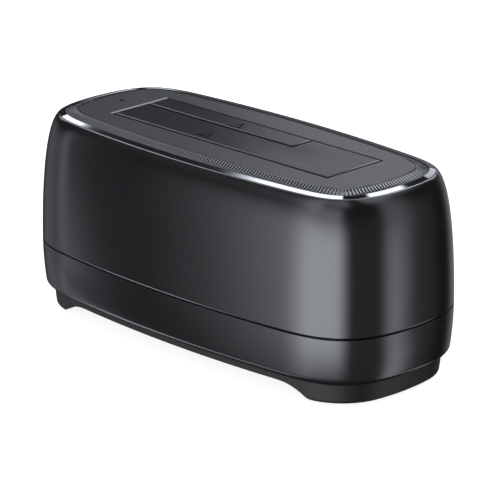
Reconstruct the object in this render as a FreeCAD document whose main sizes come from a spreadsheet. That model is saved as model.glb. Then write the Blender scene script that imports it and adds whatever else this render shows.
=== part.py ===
import FreeCAD, Part
import math
import os
import re
import Sketcher
from FreeCAD import Placement, Rotation, Vector

doc = FreeCAD.newDocument("dock")
sheet = doc.addObject("Spreadsheet::Sheet", "sizes")
same_level = 1e-4

# Driving sizes in millimetres. Z is up, Y runs to the rear and the pads rest on Z = 0.
driving = [
    ("side_radius", 500.0, "plan radius of the long sides"),
    ("end_radius", 84.0, "plan radius of the ends"),
    ("corner_radius", 25.4, "plan radius of the corners"),
    ("wall", 2.2, "moulded wall"),
    ("base_bottom", 8.0, "underside of the base shell"),
    ("base_side_radius", 120.0, "upright curve of the base shell"),
    ("base_edge_radius", 2.4, "lower edge of the base shell"),
    ("split_height", 25.5, "lower edge of the upper shell"),
    ("split_gap", 0.5, "shadow line between the shells"),
    ("split_bevel", 0.3, "bevel above the shadow line"),
    ("lip_height", 1.5, "locating lip above the split"),
    ("lip_gap", 0.1, "play round the locating lip"),
    ("rim_inset", 6.6, "how far the shell leans in at its rim"),
    ("rim_land", 0.35, "flat width of the rim"),
    ("deck_height", 73.4, "face of the deck and doors"),
    ("deck_rise", 1.3, "deck above the rim of the upper shell"),
    ("end_land", 16.55, "deck beyond the drive opening at its ends"),
    ("side_land", 10.75, "deck beyond the drive opening at its sides"),
    ("deck_thickness", 2.4, "deck plate"),
    ("flange_thickness", 1.8, "inner flange that carries the deck"),
    ("flange_inset", 16.0, "inner edge of that flange"),
    ("trim_gap", 0.1, "line on each side of the trim ring"),
    ("trim_width", 2.3, "glossy trim ring"),
    ("trim_rise", 0.6, "slope of the trim ring"),
    ("trim_drop", 0.1, "step down at each edge of the trim ring"),
    ("knurl_width", 4.5, "sloping knurled band"),
    ("plinth_inset", 4.0, "plinth behind the widest outline"),
    ("plinth_taper", 0.9, "lean of the plinth wall"),
    ("plinth_edge", 1.2, "lower edge of the plinth"),
    ("foot_bottom", 0.6, "underside of the feet"),
    ("foot_length", 35.0, "end of the body to the start of the arch"),
    ("arch_height", 5.2, "underside of the arch"),
    ("arch_radius", 20.0, "upper bend of the foot"),
    ("foot_radius", 7.0, "lower bend of the foot"),
    ("foot_floor", 2.4, "floor of the hollow feet"),
    ("pad_radius", 6.0, "rubber pad"),
    ("pad_recess", 1.0, "depth of the pad seats"),
    ("post_end_inset", 17.5, "screw posts from the ends"),
    ("post_side_inset", 20.9, "screw posts from the sides"),
    ("post_radius", 3.2, "screw posts"),
    ("post_step", 1.0, "meeting of the posts above the split"),
    ("bay_length", 106.0, "drive opening, left to right"),
    ("bay_depth", 27.4, "drive opening, front to rear"),
    ("bay_shift", 0.8, "drive opening behind the middle"),
    ("bay_bevel", 0.5, "bevel round the opening"),
    ("small_length", 73.0, "small door, from the left edge"),
    ("small_depth", 10.2, "small door, from the rear edge"),
    ("door_thickness", 2.0, "door panels"),
    ("door_gap", 0.4, "play at the sides and rear of the doors"),
    ("swing_gap", 0.7, "play at the swinging edges"),
    ("door_bevel", 0.45, "bevel of the door edges"),
    ("mark_left", 10.5, "pointer marks on the doors, left of the middle"),
    ("mark_width", 6.0, "pointer marks"),
    ("mark_length", 5.8, "pointer marks, front to rear"),
    ("mark_line", 0.6, "sunk line of the pointer marks"),
    ("mark_depth", 0.3, "sunk line of the pointer marks"),
    ("large_mark_front", 6.2, "front of the opening to the middle of the mark"),
    ("small_mark_front", 4.3, "front of the small door to the middle of the mark"),
    ("rod_radius", 1.0, "hinge rod"),
    ("rod_play", 0.05, "running play on the rod"),
    ("knuckle_radius", 2.0, "hinge knuckles"),
    ("knuckle_width", 3.0, "hinge knuckles along the rod"),
    ("arm_height", 2.4, "hinge arms"),
    ("arm_root", 5.0, "hinge arms under the panels"),
    ("arm_inset", 4.0, "small door arms from the panel ends"),
    ("wing_width", 3.0, "footing of the end arm"),
    ("wing_inset", 1.0, "footing of the end arm from the panel edges"),
    ("end_arm_width", 2.2, "arm at the left end of the large door"),
    ("bracket_width", 2.0, "rod brackets under the deck"),
    ("free_gap", 0.3, "clearance between moving and fixed pieces"),
    ("spring_wire", 0.5, "spring wire"),
    ("spring_radius", 1.6, "middle of the spring coils"),
    ("spring_turns", 5.0, "spring coils"),
    ("leg_length", 7.0, "lower spring legs"),
    ("leg_reach", 6.0, "upper spring legs under the panels"),
    ("liner_wall", 1.4, "bay liner walls"),
    ("liner_floor", 2.0, "bay liner floor"),
    ("floor_height", 21.4, "where a drive comes to rest"),
    ("ear_thickness", 2.2, "liner ears under the flange"),
    ("ear_width", 9.0, "liner ears"),
    ("ear_spread", 35.0, "front ears from the middle"),
    ("ear_rear", 9.0, "end ears behind the middle"),
    ("ear_overlap", 3.0, "ears under the flange"),
    ("stud_radius", 1.9, "deck studs for the liner screws"),
    ("standoff", 2.0, "board above the base floor"),
    ("standoff_radius", 2.6, "board standoffs"),
    ("board_thickness", 1.6, "main board"),
    ("board_left", 50.0, "board left of the middle"),
    ("board_right", 40.0, "board right of the middle"),
    ("board_front", 16.0, "board in front of the middle"),
    ("board_margin", 4.0, "board screws from the board edges"),
    ("rear_recess", 2.6, "flat port panel behind the widest outline"),
    ("panel_length", 62.0, "port panel"),
    ("panel_low", 12.0, "lower edge of the port panel"),
    ("panel_high", 24.0, "upper edge of the port panel"),
    ("panel_corner", 2.5, "corners of the port panel"),
    ("port_pitch", 22.0, "ports and button apart"),
    ("plug_side_inset", 30.1, "drive plug from the side of a drive"),
    ("plug_rear_inset", 3.5, "drive plug from the board side of a drive"),
    ("drive_play", 0.75, "drive in its opening"),
    ("socket_length", 43.0, "drive socket"),
    ("socket_width", 6.0, "drive socket"),
    ("socket_height", 11.5, "drive socket above the board"),
    ("slot_width", 1.6, "drive socket slots"),
    ("slot_depth", 6.5, "drive socket slots"),
    ("slot_key", 1.2, "keys of the slots"),
    ("signal_count", 7.0, "contacts in the short slot"),
    ("power_count", 15.0, "contacts in the long slot"),
    ("signal_start", 17.0, "short slot left of the socket middle"),
    ("power_start", 4.0, "long slot left of the socket middle"),
    ("contact_pitch", 1.27, "drive socket contacts"),
    ("contact_width", 0.7, "drive socket contacts"),
    ("contact_thickness", 0.35, "drive socket contacts"),
    ("contact_drop", 0.6, "contacts below the socket face"),
    ("chip_width", 9.0, "bridge chip"),
    ("chip_height", 1.2, "bridge chip"),
    ("chip_right", 10.0, "bridge chip from the middle"),
    ("crystal_length", 5.0, "clock crystal"),
    ("crystal_width", 3.2, "clock crystal"),
    ("crystal_height", 1.0, "clock crystal"),
    ("inductor_width", 7.0, "power inductor"),
    ("inductor_height", 4.0, "power inductor"),
    ("capacitor_radius", 3.15, "filter capacitors"),
    ("capacitor_height", 7.0, "filter capacitors"),
    ("capacitor_inset", 11.0, "first capacitor from the board edge"),
    ("part_gap", 0.7, "space between board parts"),
    ("usb_width", 8.9, "port shell"),
    ("usb_height", 3.2, "port shell"),
    ("usb_depth", 9.0, "port shell"),
    ("usb_wall", 0.3, "port shell"),
    ("tongue_width", 6.7, "port tongue"),
    ("tongue_thickness", 0.7, "port tongue"),
    ("tongue_inset", 0.8, "port tongue behind the mouth"),
    ("port_gap", 0.3, "housing round the ports"),
    ("jack_width", 9.0, "power jack"),
    ("jack_depth", 14.0, "power jack"),
    ("jack_height", 10.8, "power jack"),
    ("jack_axis", 5.6, "power jack bore above the board"),
    ("jack_bore", 3.1, "power jack bore"),
    ("jack_bore_depth", 9.8, "power jack bore"),
    ("jack_window", 4.6, "housing hole for the power plug"),
    ("pin_radius", 1.05, "power jack pin"),
    ("pin_inset", 1.0, "power jack pin behind the mouth"),
    ("button_radius", 4.0, "power button"),
    ("button_axis", 5.0, "power button above the board"),
    ("button_proud", 1.3, "power button beyond the port panel"),
    ("button_travel", 1.2, "power button"),
    ("button_rim", 0.7, "reach of the flange that keeps the button in"),
    ("button_flange", 1.0, "thickness of that flange"),
    ("stem_depth", 2.5, "power button stem in the switch"),
    ("well_depth", 5.0, "power switch well"),
    ("stem_width", 3.0, "power button stem"),
    ("switch_width", 8.5, "power switch"),
    ("switch_depth", 9.5, "power switch"),
    ("switch_height", 8.6, "power switch"),
    ("pipe_radius", 1.5, "light pipe"),
    ("pipe_tip", 1.0, "light pipe in the deck"),
    ("lamp_length", 3.0, "status lamp"),
    ("lamp_width", 1.6, "status lamp"),
    ("lamp_height", 1.1, "status lamp"),
    ("lamp_gap", 0.2, "light pipe above the lamp"),
    ("tab_length", 4.0, "board beyond the lamp"),
    ("tab_width", 12.0, "board tab under the lamp"),
    ("screw_radius", 1.0, "small screws"),
    ("screw_head", 2.1, "small screw heads"),
    ("screw_head_height", 1.5, "small screw heads"),
    ("screw_grip", 3.0, "small screw in its stud"),
    ("long_radius", 1.4, "base screws"),
    ("long_head", 2.5, "base screw heads"),
    ("long_head_height", 2.0, "base screw heads"),
    ("long_grip", 10.0, "base screw in the upper post"),
    ("hole_play", 0.2, "screw clearance holes"),
    ("overcut", 1.0, "cutters beyond the faces they open"),
]

# Sizes that follow from the ones above.
derived = [
    ("seat_inset", "rim_inset + rim_land"),
    ("trim_outer", "seat_inset + trim_gap"),
    ("trim_inner", "trim_outer + trim_width"),
    ("knurl_outer", "trim_inner + trim_gap"),
    ("deck_inset", "knurl_outer + knurl_width"),
    ("half_length", "bay_length / 2 + end_land + deck_inset"),
    ("half_width", "bay_depth / 2 + side_land + deck_inset"),
    ("rim_height", "deck_height - deck_rise"),
    ("trim_low", "rim_height - trim_drop"),
    ("trim_high", "trim_low + trim_rise"),
    ("shell_rise", "rim_height - split_height"),
    ("deck_under", "deck_height - deck_thickness"),
    ("flange_under", "deck_under - flange_thickness"),
    ("bay_left", "-bay_length / 2"),
    ("bay_right", "bay_length / 2"),
    ("bay_front", "bay_shift - bay_depth / 2"),
    ("bay_back", "bay_shift + bay_depth / 2"),
    ("small_right", "bay_left + small_length"),
    ("small_front", "bay_back - small_depth"),
    ("door_under", "deck_height - door_thickness"),
    ("mark_point", "mark_line / sin(atan(mark_width / (2 * mark_length)))"),
    ("mark_scale", "1 - (mark_line + mark_point) / mark_length"),
    ("hinge_z", "deck_under - free_gap - knuckle_radius"),
    ("hinge_y", "bay_back + deck_height - hinge_z + free_gap"),
    ("arm_top", "deck_under - 2 * free_gap"),
    ("end_arm_x", "bay_left - free_gap - end_arm_width"),
    ("pocket_half", "bay_right + end_arm_width + bracket_width + 3 * free_gap"),
    ("pocket_back", "hinge_y + spring_radius + spring_wire / 2"),
    ("pocket_front", "bay_front - 2 * free_gap"),
    ("shelf_height", "hinge_z - hinge_y + bay_front - free_gap"),
    ("liner_half", "pocket_half + liner_wall"),
    ("liner_front", "pocket_front - liner_wall"),
    ("liner_back", "pocket_back + liner_wall"),
    ("liner_bottom", "floor_height - liner_floor"),
    ("ear_under", "flange_under - ear_thickness"),
    ("front_stud_y", "liner_front - stud_radius - 2 * free_gap"),
    ("end_stud_x", "liner_half + stud_radius + 2 * free_gap"),
    ("floor_top", "base_bottom + wall"),
    ("post_joint", "split_height + post_step"),
    ("post_x", "half_length - post_end_inset"),
    ("post_y", "half_width - post_side_inset"),
    ("pad_top", "foot_bottom + pad_recess"),
    ("arch_start", "half_length - foot_length"),
    ("arch_swing", "acos(1 - (arch_height - foot_bottom) / (arch_radius + foot_radius))"),
    ("arch_end", "arch_start + (arch_radius + foot_radius) * sin(arch_swing)"),
    ("board_bottom", "floor_top + standoff"),
    ("board_top", "board_bottom + board_thickness"),
    ("panel_face", "half_width - rear_recess"),
    ("panel_inner", "panel_face - wall"),
    ("board_rear", "panel_inner - free_gap"),
    ("socket_x", "bay_left + drive_play + plug_side_inset"),
    ("socket_y", "bay_back - free_gap - plug_rear_inset"),
    ("socket_top", "board_top + socket_height"),
    ("usb_z", "board_top + usb_height / 2"),
    ("usb_front", "panel_face - free_gap"),
    ("jack_z", "board_top + jack_axis"),
    ("button_z", "board_top + button_axis"),
    ("switch_front", "panel_inner - button_flange - button_travel - 3 * free_gap"),
    ("lamp_x", "-liner_half - pipe_radius - 4 * free_gap"),
    ("lamp_y", "bay_shift / 2"),
]


def fill_sheet():
    for row, (name, value, note) in enumerate(driving, 1):
        sheet.set(f"A{row}", note)
        sheet.set(f"B{row}", str(value))
        sheet.setAlias(f"B{row}", name)
    for row, (name, formula) in enumerate(derived, len(driving) + 1):
        sheet.set(f"B{row}", "=" + formula)
        sheet.setAlias(f"B{row}", name)
    doc.recompute()


aliases = {entry[0] for entry in driving + derived}


def bound(text):
    def prefix(match):
        word = match.group(0)
        return "sizes." + word if word in aliases else word
    return re.sub(r"[a-z]+(_[a-z]+)*", prefix, str(text))


def number(text):
    return float(sheet.evalExpression(bound(text)))


def drive(item, path, text):
    item.setExpression(path, bound(text))


fill_sheet()

# Shared building steps.
turns = {
    "x": Rotation(Vector(0, 1, 0), 90),
    "y": Rotation(Vector(1, 0, 0), -90),
    "z": Rotation(),
}


def place(item, x, y, z, axis="z"):
    item.Placement = Placement(Vector(), turns[axis])
    for name, text in zip("xyz", (x, y, z)):
        drive(item, "Placement.Base." + name, text)
    return item


def box(name, west, east, front, rear, low, high):
    item = doc.addObject("Part::Box", name)
    drive(item, "Length", f"({east}) - ({west})")
    drive(item, "Width", f"({rear}) - ({front})")
    drive(item, "Height", f"({high}) - ({low})")
    return place(item, west, front, low)


def cylinder(name, x, y, z, radius, length, axis="z"):
    item = doc.addObject("Part::Cylinder", name)
    drive(item, "Radius", radius)
    drive(item, "Height", length)
    return place(item, x, y, z, axis)


def fuse(name, parts):
    item = doc.addObject("Part::MultiFuse", name)
    item.Shapes = parts
    item.Refine = True
    return item


def group(name, parts):
    item = doc.addObject("Part::Compound", name)
    item.Links = parts
    return item


def cut(name, base, tools):
    item = doc.addObject("Part::Cut", name)
    item.Base = base
    item.Tool = tools[0] if len(tools) == 1 else group(name + "_tools", tools)
    item.Refine = True
    return item


def common(name, first, second):
    item = doc.addObject("Part::MultiCommon", name)
    item.Shapes = [first, second]
    return item


def extrude(name, sketch, length, direction=Vector(0, 0, 1)):
    item = doc.addObject("Part::Extrusion", name)
    item.Base = sketch
    item.DirMode = "Custom"
    item.Dir = direction
    item.Solid = True
    drive(item, "LengthFwd", length)
    return item


def hold(sketch, kind, geometry, point, text):
    index = sketch.addConstraint(Sketcher.Constraint(kind, -1, 1, geometry, point, number(text)))
    drive(sketch, f"Constraints[{index}]", text)


def add_polygon(sketch, corners):
    points = [Vector(number(x), number(y), 0) for x, y in corners]
    count = len(points)
    lines = [Part.LineSegment(points[i], points[(i + 1) % count]) for i in range(count)]
    edges = sketch.addGeometry(lines, False)
    for i in range(count):
        sketch.addConstraint(Sketcher.Constraint("Coincident", edges[i], 2, edges[(i + 1) % count], 1))
    for edge, (x, y) in zip(edges, corners):
        hold(sketch, "DistanceX", edge, 1, x)
        hold(sketch, "DistanceY", edge, 1, y)


def add_rectangle(sketch, west, east, low, high):
    add_polygon(sketch, [(west, low), (east, low), (east, high), (west, high)])


def add_circle(sketch, x, y, radius):
    circle = Part.Circle(Vector(number(x), number(y), 0), Vector(0, 0, 1), number(radius))
    index = sketch.addGeometry(circle, False)
    size = sketch.addConstraint(Sketcher.Constraint("Radius", index, number(radius)))
    drive(sketch, f"Constraints[{size}]", radius)
    hold(sketch, "DistanceX", index, 3, x)
    hold(sketch, "DistanceY", index, 3, y)


def add_stadium(sketch, x, y, width, height):
    reach = number(f"(({width}) - ({height})) / 2")
    radius = number(f"({height}) / 2")
    middle_x, middle_y = number(x), number(y)
    west, east = middle_x - reach, middle_x + reach
    up = Vector(0, 0, 1)
    arcs = [
        Part.ArcOfCircle(Part.Circle(Vector(east, middle_y, 0), up, radius), -math.pi / 2, math.pi / 2),
        Part.ArcOfCircle(Part.Circle(Vector(west, middle_y, 0), up, radius), math.pi / 2, 3 * math.pi / 2),
    ]
    lines = [
        Part.LineSegment(Vector(east, middle_y + radius, 0), Vector(west, middle_y + radius, 0)),
        Part.LineSegment(Vector(west, middle_y - radius, 0), Vector(east, middle_y - radius, 0)),
    ]
    edges = sketch.addGeometry([arcs[0], lines[0], arcs[1], lines[1]], False)
    for i in range(4):
        sketch.addConstraint(Sketcher.Constraint("Tangent", edges[i], 2, edges[(i + 1) % 4], 1))
    sketch.addConstraint(Sketcher.Constraint("Horizontal", edges[1]))
    size = sketch.addConstraint(Sketcher.Constraint("Radius", edges[0], radius))
    drive(sketch, f"Constraints[{size}]", f"({height}) / 2")
    for edge, sign in ((edges[0], "+"), (edges[2], "-")):
        hold(sketch, "DistanceX", edge, 3, f"{x} {sign} (({width}) - ({height})) / 2")
    hold(sketch, "DistanceY", edges[0], 3, y)


def corner_centre():
    side, end, corner = (number(name) for name in ("side_radius", "end_radius", "corner_radius"))
    side_y = number("half_width") - side
    end_x = number("half_length") - end
    apart = math.hypot(end_x, side_y)
    near, far = side - corner, end - corner
    along = (near ** 2 - far ** 2 + apart ** 2) / (2 * apart)
    across = math.sqrt(near ** 2 - along ** 2)
    unit_x, unit_y = end_x / apart, -side_y / apart
    return unit_x * along + unit_y * across, side_y + unit_y * along - unit_x * across


def add_outline(sketch, inset):
    # Nine arcs: the right end is split in two so that the closed curve starts on the X axis.
    corner_x, corner_y = corner_centre()
    side_y = number("half_width - side_radius")
    end_x = number("half_length - end_radius")
    rise = math.atan2(corner_y, corner_x - end_x)
    turn = math.atan2(corner_y - side_y, corner_x)
    whole = 2 * math.pi
    plan = [
        (end_x, 0, "end_radius", 0, rise),
        (corner_x, corner_y, "corner_radius", rise, turn),
        (0, side_y, "side_radius", turn, math.pi - turn),
        (-corner_x, corner_y, "corner_radius", math.pi - turn, math.pi - rise),
        (-end_x, 0, "end_radius", math.pi - rise, math.pi + rise),
        (-corner_x, -corner_y, "corner_radius", math.pi + rise, math.pi + turn),
        (0, -side_y, "side_radius", math.pi + turn, whole - turn),
        (corner_x, -corner_y, "corner_radius", whole - turn, whole - rise),
        (end_x, 0, "end_radius", whole - rise, whole),
    ]
    arcs = []
    for x, y, radius, start, stop in plan:
        circle = Part.Circle(Vector(x, y, 0), Vector(0, 0, 1), number(f"{radius} - ({inset})"))
        arcs.append(Part.ArcOfCircle(circle, start, stop))
    edges = sketch.addGeometry(arcs, False)
    for i in range(8):
        sketch.addConstraint(Sketcher.Constraint("Tangent", edges[i], 2, edges[i + 1], 1))
    sketch.addConstraint(Sketcher.Constraint("Coincident", edges[8], 2, edges[0], 1))
    for edge, (x, y, radius, start, stop) in zip(edges[:8], plan):
        size = sketch.addConstraint(Sketcher.Constraint("Radius", edge, number(f"{radius} - ({inset})")))
        drive(sketch, f"Constraints[{size}]", f"{radius} - ({inset})")


def outline(name, inset, height):
    sketch = doc.addObject("Sketcher::SketchObject", name)
    add_outline(sketch, inset)
    drive(sketch, "Placement.Base.z", height)
    return sketch


def on_section(inset, height):
    return Vector(number("half_length") - number(inset), number(height), 0)


def curve(poles):
    bend = Part.BezierCurve()
    bend.setPoles([on_section(inset, height) for inset, height in poles])
    return bend.toBSpline()


def chain(corners):
    points = [on_section(inset, height) for inset, height in corners]
    return [Part.LineSegment(first, second) for first, second in zip(points, points[1:])]


def sweep(name, pieces):
    # Sections stand on the XZ plane at the start of the outline.
    section = doc.addObject("Sketcher::SketchObject", name + "_section")
    section.Placement = Placement(Vector(), Rotation(Vector(1, 0, 0), 90))
    section.addGeometry(pieces, False)
    item = doc.addObject("Part::Sweep", name)
    item.Sections = [section]
    item.Spine = (spine, [])
    item.Solid = True
    return item


def new_body(name):
    return doc.addObject("PartDesign::Body", name)


def sketch_on(body, name, role, offset="0"):
    sketch = body.newObject("Sketcher::SketchObject", f"{body.Name}_{name}_sketch")
    origin_plane = [plane for plane in body.Origin.OriginFeatures if plane.Role == role][0]
    sketch.AttachmentSupport = (origin_plane, [""])
    sketch.MapMode = "FlatFace"
    drive(sketch, "AttachmentOffset.Base.z", offset)
    return sketch


def feature(body, kind, name, sketch, length, reverse):
    item = body.newObject("PartDesign::" + kind, f"{body.Name}_{name}")
    item.Profile = sketch
    item.Reversed = reverse
    drive(item, "Length", length)
    body.Tip = item
    doc.recompute()
    return item


def pad(body, name, sketch, length, reverse=False):
    return feature(body, "Pad", name, sketch, length, reverse)


def pocket(body, name, sketch, length, reverse=False):
    return feature(body, "Pocket", name, sketch, length, reverse)


def bevel(body, name, base, size, chosen):
    edges = [f"Edge{i}" for i, edge in enumerate(base.Shape.Edges, 1) if chosen(edge.BoundBox)]
    item = body.newObject("PartDesign::Chamfer", f"{body.Name}_{name}")
    item.Base = (base, edges)
    drive(item, "Size", size)
    body.Tip = item
    doc.recompute()
    return item


def at_height(height):
    level = number(height)
    return lambda bounds: max(abs(bounds.ZMin - level), abs(bounds.ZMax - level)) < same_level


spine = outline("spine", "0", "0")
doc.recompute()

corners = [(east, rear) for east in (-1, 1) for rear in (-1, 1)]
long_screw_places = [(f"{east} * post_x", f"{rear} * post_y") for east, rear in corners]
board_screw_places = [
    (x, y)
    for x in ("board_margin - board_left", "board_right - board_margin")
    for y in ("board_margin - board_front", "board_rear - board_margin")
]
stud_places = [(f"{side} * ear_spread", "front_stud_y") for side in (-1, 1)]
stud_places += [(f"{side} * end_stud_x", "ear_rear") for side in (-1, 1)]


# Upper shell: one swept wall with its deck flange, four posts and room for the bay liner.
def make_upper_shell():
    lip_line = "wall / 2"
    lip_roof = "split_height + lip_height + lip_gap"
    pieces = chain([("0", "split_height + split_bevel"), ("split_bevel", "split_height"),
                    (lip_line, "split_height"), (lip_line, lip_roof), ("wall", lip_roof)])
    pieces.append(curve([("wall", lip_roof), ("wall", "split_height + 0.1 * shell_rise"),
                         ("wall + 0.06 * rim_inset", "flange_under - 0.1 * shell_rise"),
                         ("rim_inset + 0.55 * wall", "flange_under")]))
    pieces += chain([("rim_inset + 0.55 * wall", "flange_under"), ("flange_inset", "flange_under"),
                     ("flange_inset", "deck_under"), ("seat_inset", "deck_under"),
                     ("seat_inset", "rim_height"), ("rim_inset", "rim_height")])
    pieces.append(curve([("rim_inset", "rim_height"),
                         ("0.035 * rim_inset", "rim_height - 0.106 * shell_rise"),
                         ("0", "split_height + 0.1 * shell_rise"), ("0", "split_height + split_bevel")]))
    skin = sweep("upper_skin", pieces)
    parts = [skin]
    tools = [box("liner_room", "-liner_half - free_gap", "liner_half + free_gap", "liner_front - free_gap",
                 "liner_back + free_gap", "flange_under - overcut", "deck_under + overcut")]
    for i, (x, y) in enumerate(long_screw_places):
        parts.append(cylinder(f"upper_post_{i}", x, y, "post_joint", "post_radius",
                              "flange_under - post_joint"))
        tools.append(cylinder(f"upper_pilot_{i}", x, y, "post_joint - overcut", "long_radius",
                              "long_grip + 2 * overcut"))
    return cut("upper_shell", fuse("upper_solid", parts), tools)


# Base shell: swept wall with a rounded lower edge, a floor, posts, standoffs and the flat port panel.
def make_base_shell():
    big, small = number("base_side_radius"), number("base_edge_radius")
    top, low, thick = number("split_height"), number("base_bottom"), number("wall")
    edge_z = low + small
    edge_inset = big - math.sqrt((big - small) ** 2 - (top - edge_z) ** 2)
    lean = math.atan2(top - edge_z, big - edge_inset)

    def on_side(radius, height):
        return big - math.sqrt(radius ** 2 - (top - height) ** 2), height

    def arc_piece(first, middle, last):
        return Part.ArcOfCircle(*(on_section(*point) for point in (first, middle, last)))

    start = on_side(big, top - number("split_gap"))
    join = (big - big * math.cos(lean), top - big * math.sin(lean))
    half = (lean + math.pi / 2) / 2
    edge_middle = (edge_inset - small * math.cos(half), edge_z - small * math.sin(half))
    inner_low = on_side(big - thick, low + thick)
    inner_high = on_side(big - thick, top)
    pieces = [
        arc_piece(start, on_side(big, (start[1] + join[1]) / 2), join),
        arc_piece(join, edge_middle, (edge_inset, low)),
    ]
    pieces += chain([(edge_inset, "base_bottom"), ("3 * wall", "base_bottom"), ("3 * wall", "floor_top"),
                     inner_low])
    pieces.append(arc_piece(inner_low, on_side(big - thick, (inner_low[1] + top) / 2), inner_high))
    lip_line = "wall / 2 + lip_gap"
    pieces += chain([inner_high, ("wall", "split_height + lip_height"),
                     (lip_line, "split_height + lip_height"), (lip_line, "split_height - split_gap"), start])
    wall_ring = sweep("base_wall", pieces)
    floor = extrude("base_floor", outline("base_floor_outline", "3 * wall", "base_bottom"), "wall")
    parts = [wall_ring, floor]
    parts.append(box("panel_block", "-panel_length / 2 - wall", "panel_length / 2 + wall", "panel_inner",
                     "half_width - wall + 0.1", "floor_top", "split_height - split_gap"))
    tools = []
    for i, (x, y) in enumerate(long_screw_places):
        parts.append(cylinder(f"base_post_{i}", x, y, "floor_top", "post_radius", "post_joint - floor_top"))
        tools.append(cylinder(f"base_way_{i}", x, y, "base_bottom - overcut", "long_radius + hole_play",
                              "post_joint - base_bottom + 2 * overcut"))
    for i, (x, y) in enumerate(board_screw_places):
        parts.append(cylinder(f"standoff_{i}", x, y, "floor_top", "standoff_radius", "standoff"))
        tools.append(cylinder(f"standoff_pilot_{i}", x, y, "board_bottom - screw_grip", "screw_radius",
                              "screw_grip + overcut"))
    tools.append(panel_tool())
    for name, x, z, radius in (("jack_way", "-port_pitch", "jack_z", "jack_window"),
                               ("button_way", "port_pitch", "button_z", "button_radius + free_gap")):
        tools.append(cylinder(name, x, "panel_inner - overcut", z, radius, "wall + 2 * overcut", "y"))
    tools.append(usb_tool())
    return cut("base_shell", fuse("base_solid", parts), tools)


def panel_tool():
    body = new_body("panel_cutter")
    sketch = sketch_on(body, "face", "XZ_Plane", "-panel_face")
    add_rectangle(sketch, "-panel_length / 2", "panel_length / 2", "panel_low", "panel_high")
    base = pad(body, "depth", sketch, "rear_recess + overcut", True)
    depth = number("rear_recess")
    edges = [f"Edge{i}" for i, edge in enumerate(base.Shape.Edges, 1) if edge.BoundBox.YLength > depth]
    rounded = body.newObject("PartDesign::Fillet", "panel_cutter_corners")
    rounded.Base = (base, edges)
    drive(rounded, "Radius", "panel_corner")
    body.Tip = rounded
    return body


def usb_tool():
    body = new_body("usb_cutter")
    sketch = sketch_on(body, "mouth", "XZ_Plane", "overcut - panel_inner")
    add_stadium(sketch, "0", "usb_z", "usb_width + 2 * port_gap", "usb_height + 2 * port_gap")
    pad(body, "depth", sketch, "wall + 2 * overcut", True)
    return body


# Plinth: tapered block with an arch along each side and two hollow feet.
def make_plinth():
    lower = "plinth_inset + plinth_taper"
    edge = number("plinth_edge")
    corner = on_section(lower, "foot_bottom")
    lean = math.atan2(number("plinth_taper"), number("base_bottom - foot_bottom"))
    reach = edge * math.tan((math.pi / 2 - lean) / 2)
    before = corner + Vector(reach * math.sin(lean), reach * math.cos(lean), 0)
    after = corner - Vector(reach, 0, 0)
    centre = after + Vector(0, edge, 0)
    middle = centre + (corner - centre).normalize() * edge
    core = "plinth_inset + 3 * wall"
    top, inner = on_section("plinth_inset", "base_bottom"), on_section(core, "foot_bottom")
    pieces = [
        Part.LineSegment(top, before),
        Part.ArcOfCircle(before, middle, after),
        Part.LineSegment(after, inner),
    ]
    pieces += chain([(core, "foot_bottom"), (core, "base_bottom"), ("plinth_inset", "base_bottom")])
    rim = sweep("plinth_rim", pieces)
    block = extrude("plinth_core", outline("plinth_core_outline", core, "foot_bottom"),
                    "base_bottom - foot_bottom")
    solid = fuse("plinth_block", [rim, block])
    hollow = extrude("foot_hollow", outline("foot_hollow_outline", "plinth_inset + plinth_taper + wall",
                                            "foot_bottom + foot_floor"), "base_bottom")
    rooms = [box("room_right", "arch_end + wall", "half_length", "-half_width", "half_width", "0",
                 "2 * base_bottom"),
             box("room_left", "-half_length", "-arch_end - wall", "-half_width", "half_width", "0",
                 "2 * base_bottom")]
    bosses = []
    tools = []
    for i, (x, y) in enumerate(long_screw_places):
        bosses.append(cylinder(f"foot_boss_{i}", x, y, "foot_bottom", "long_head + wall",
                               "base_bottom - foot_bottom"))
        tools.append(cylinder(f"pad_seat_{i}", x, y, "foot_bottom - overcut", "pad_radius",
                              "pad_recess + overcut"))
        tools.append(cylinder(f"head_seat_{i}", x, y, "foot_bottom", "long_head + hole_play",
                              "pad_recess + long_head_height"))
        tools.append(cylinder(f"foot_way_{i}", x, y, "foot_bottom", "long_radius + hole_play", "base_bottom"))
    rooms_cutter = common("foot_rooms", hollow, group("room_boxes", rooms))
    shell = cut("plinth_shell", solid, [rooms_cutter, arch_tool()])
    return cut("plinth", fuse("plinth_solid", [shell] + bosses), tools)


def arch_tool():
    # Each end of the arch is two tangent arcs, level at the arch and at the foot.
    upper, lower = number("arch_radius"), number("foot_radius")
    top, low = number("arch_height"), number("foot_bottom")
    start, end = number("arch_start"), number("arch_end")
    swing = math.radians(number("arch_swing"))
    floor = low - number("overcut")

    def on_upper(angle):
        return start + upper * math.sin(angle), top - upper * (1 - math.cos(angle))

    def on_lower(angle):
        return end - lower * math.sin(angle), low + lower * (1 - math.cos(angle))

    pieces = [Part.LineSegment(Vector(-start, top, 0), Vector(start, top, 0)),
              Part.LineSegment(Vector(-end, floor, 0), Vector(end, floor, 0))]
    for side in (-1, 1):
        for bend in (on_upper, on_lower):
            points = [bend(angle) for angle in (0, swing / 2, swing)]
            pieces.append(Part.ArcOfCircle(*(Vector(side * x, z, 0) for x, z in points)))
        pieces.append(Part.LineSegment(Vector(side * end, low, 0), Vector(side * end, floor, 0)))
    sketch = doc.addObject("Sketcher::SketchObject", "arch_section")
    sketch.Placement = Placement(Vector(), turns["y"].inverted())
    drive(sketch, "Placement.Base.y", "half_width")
    sketch.addGeometry(pieces, False)
    return extrude("arch_cutter", sketch, "2 * half_width", Vector(0, -1, 0))


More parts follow.
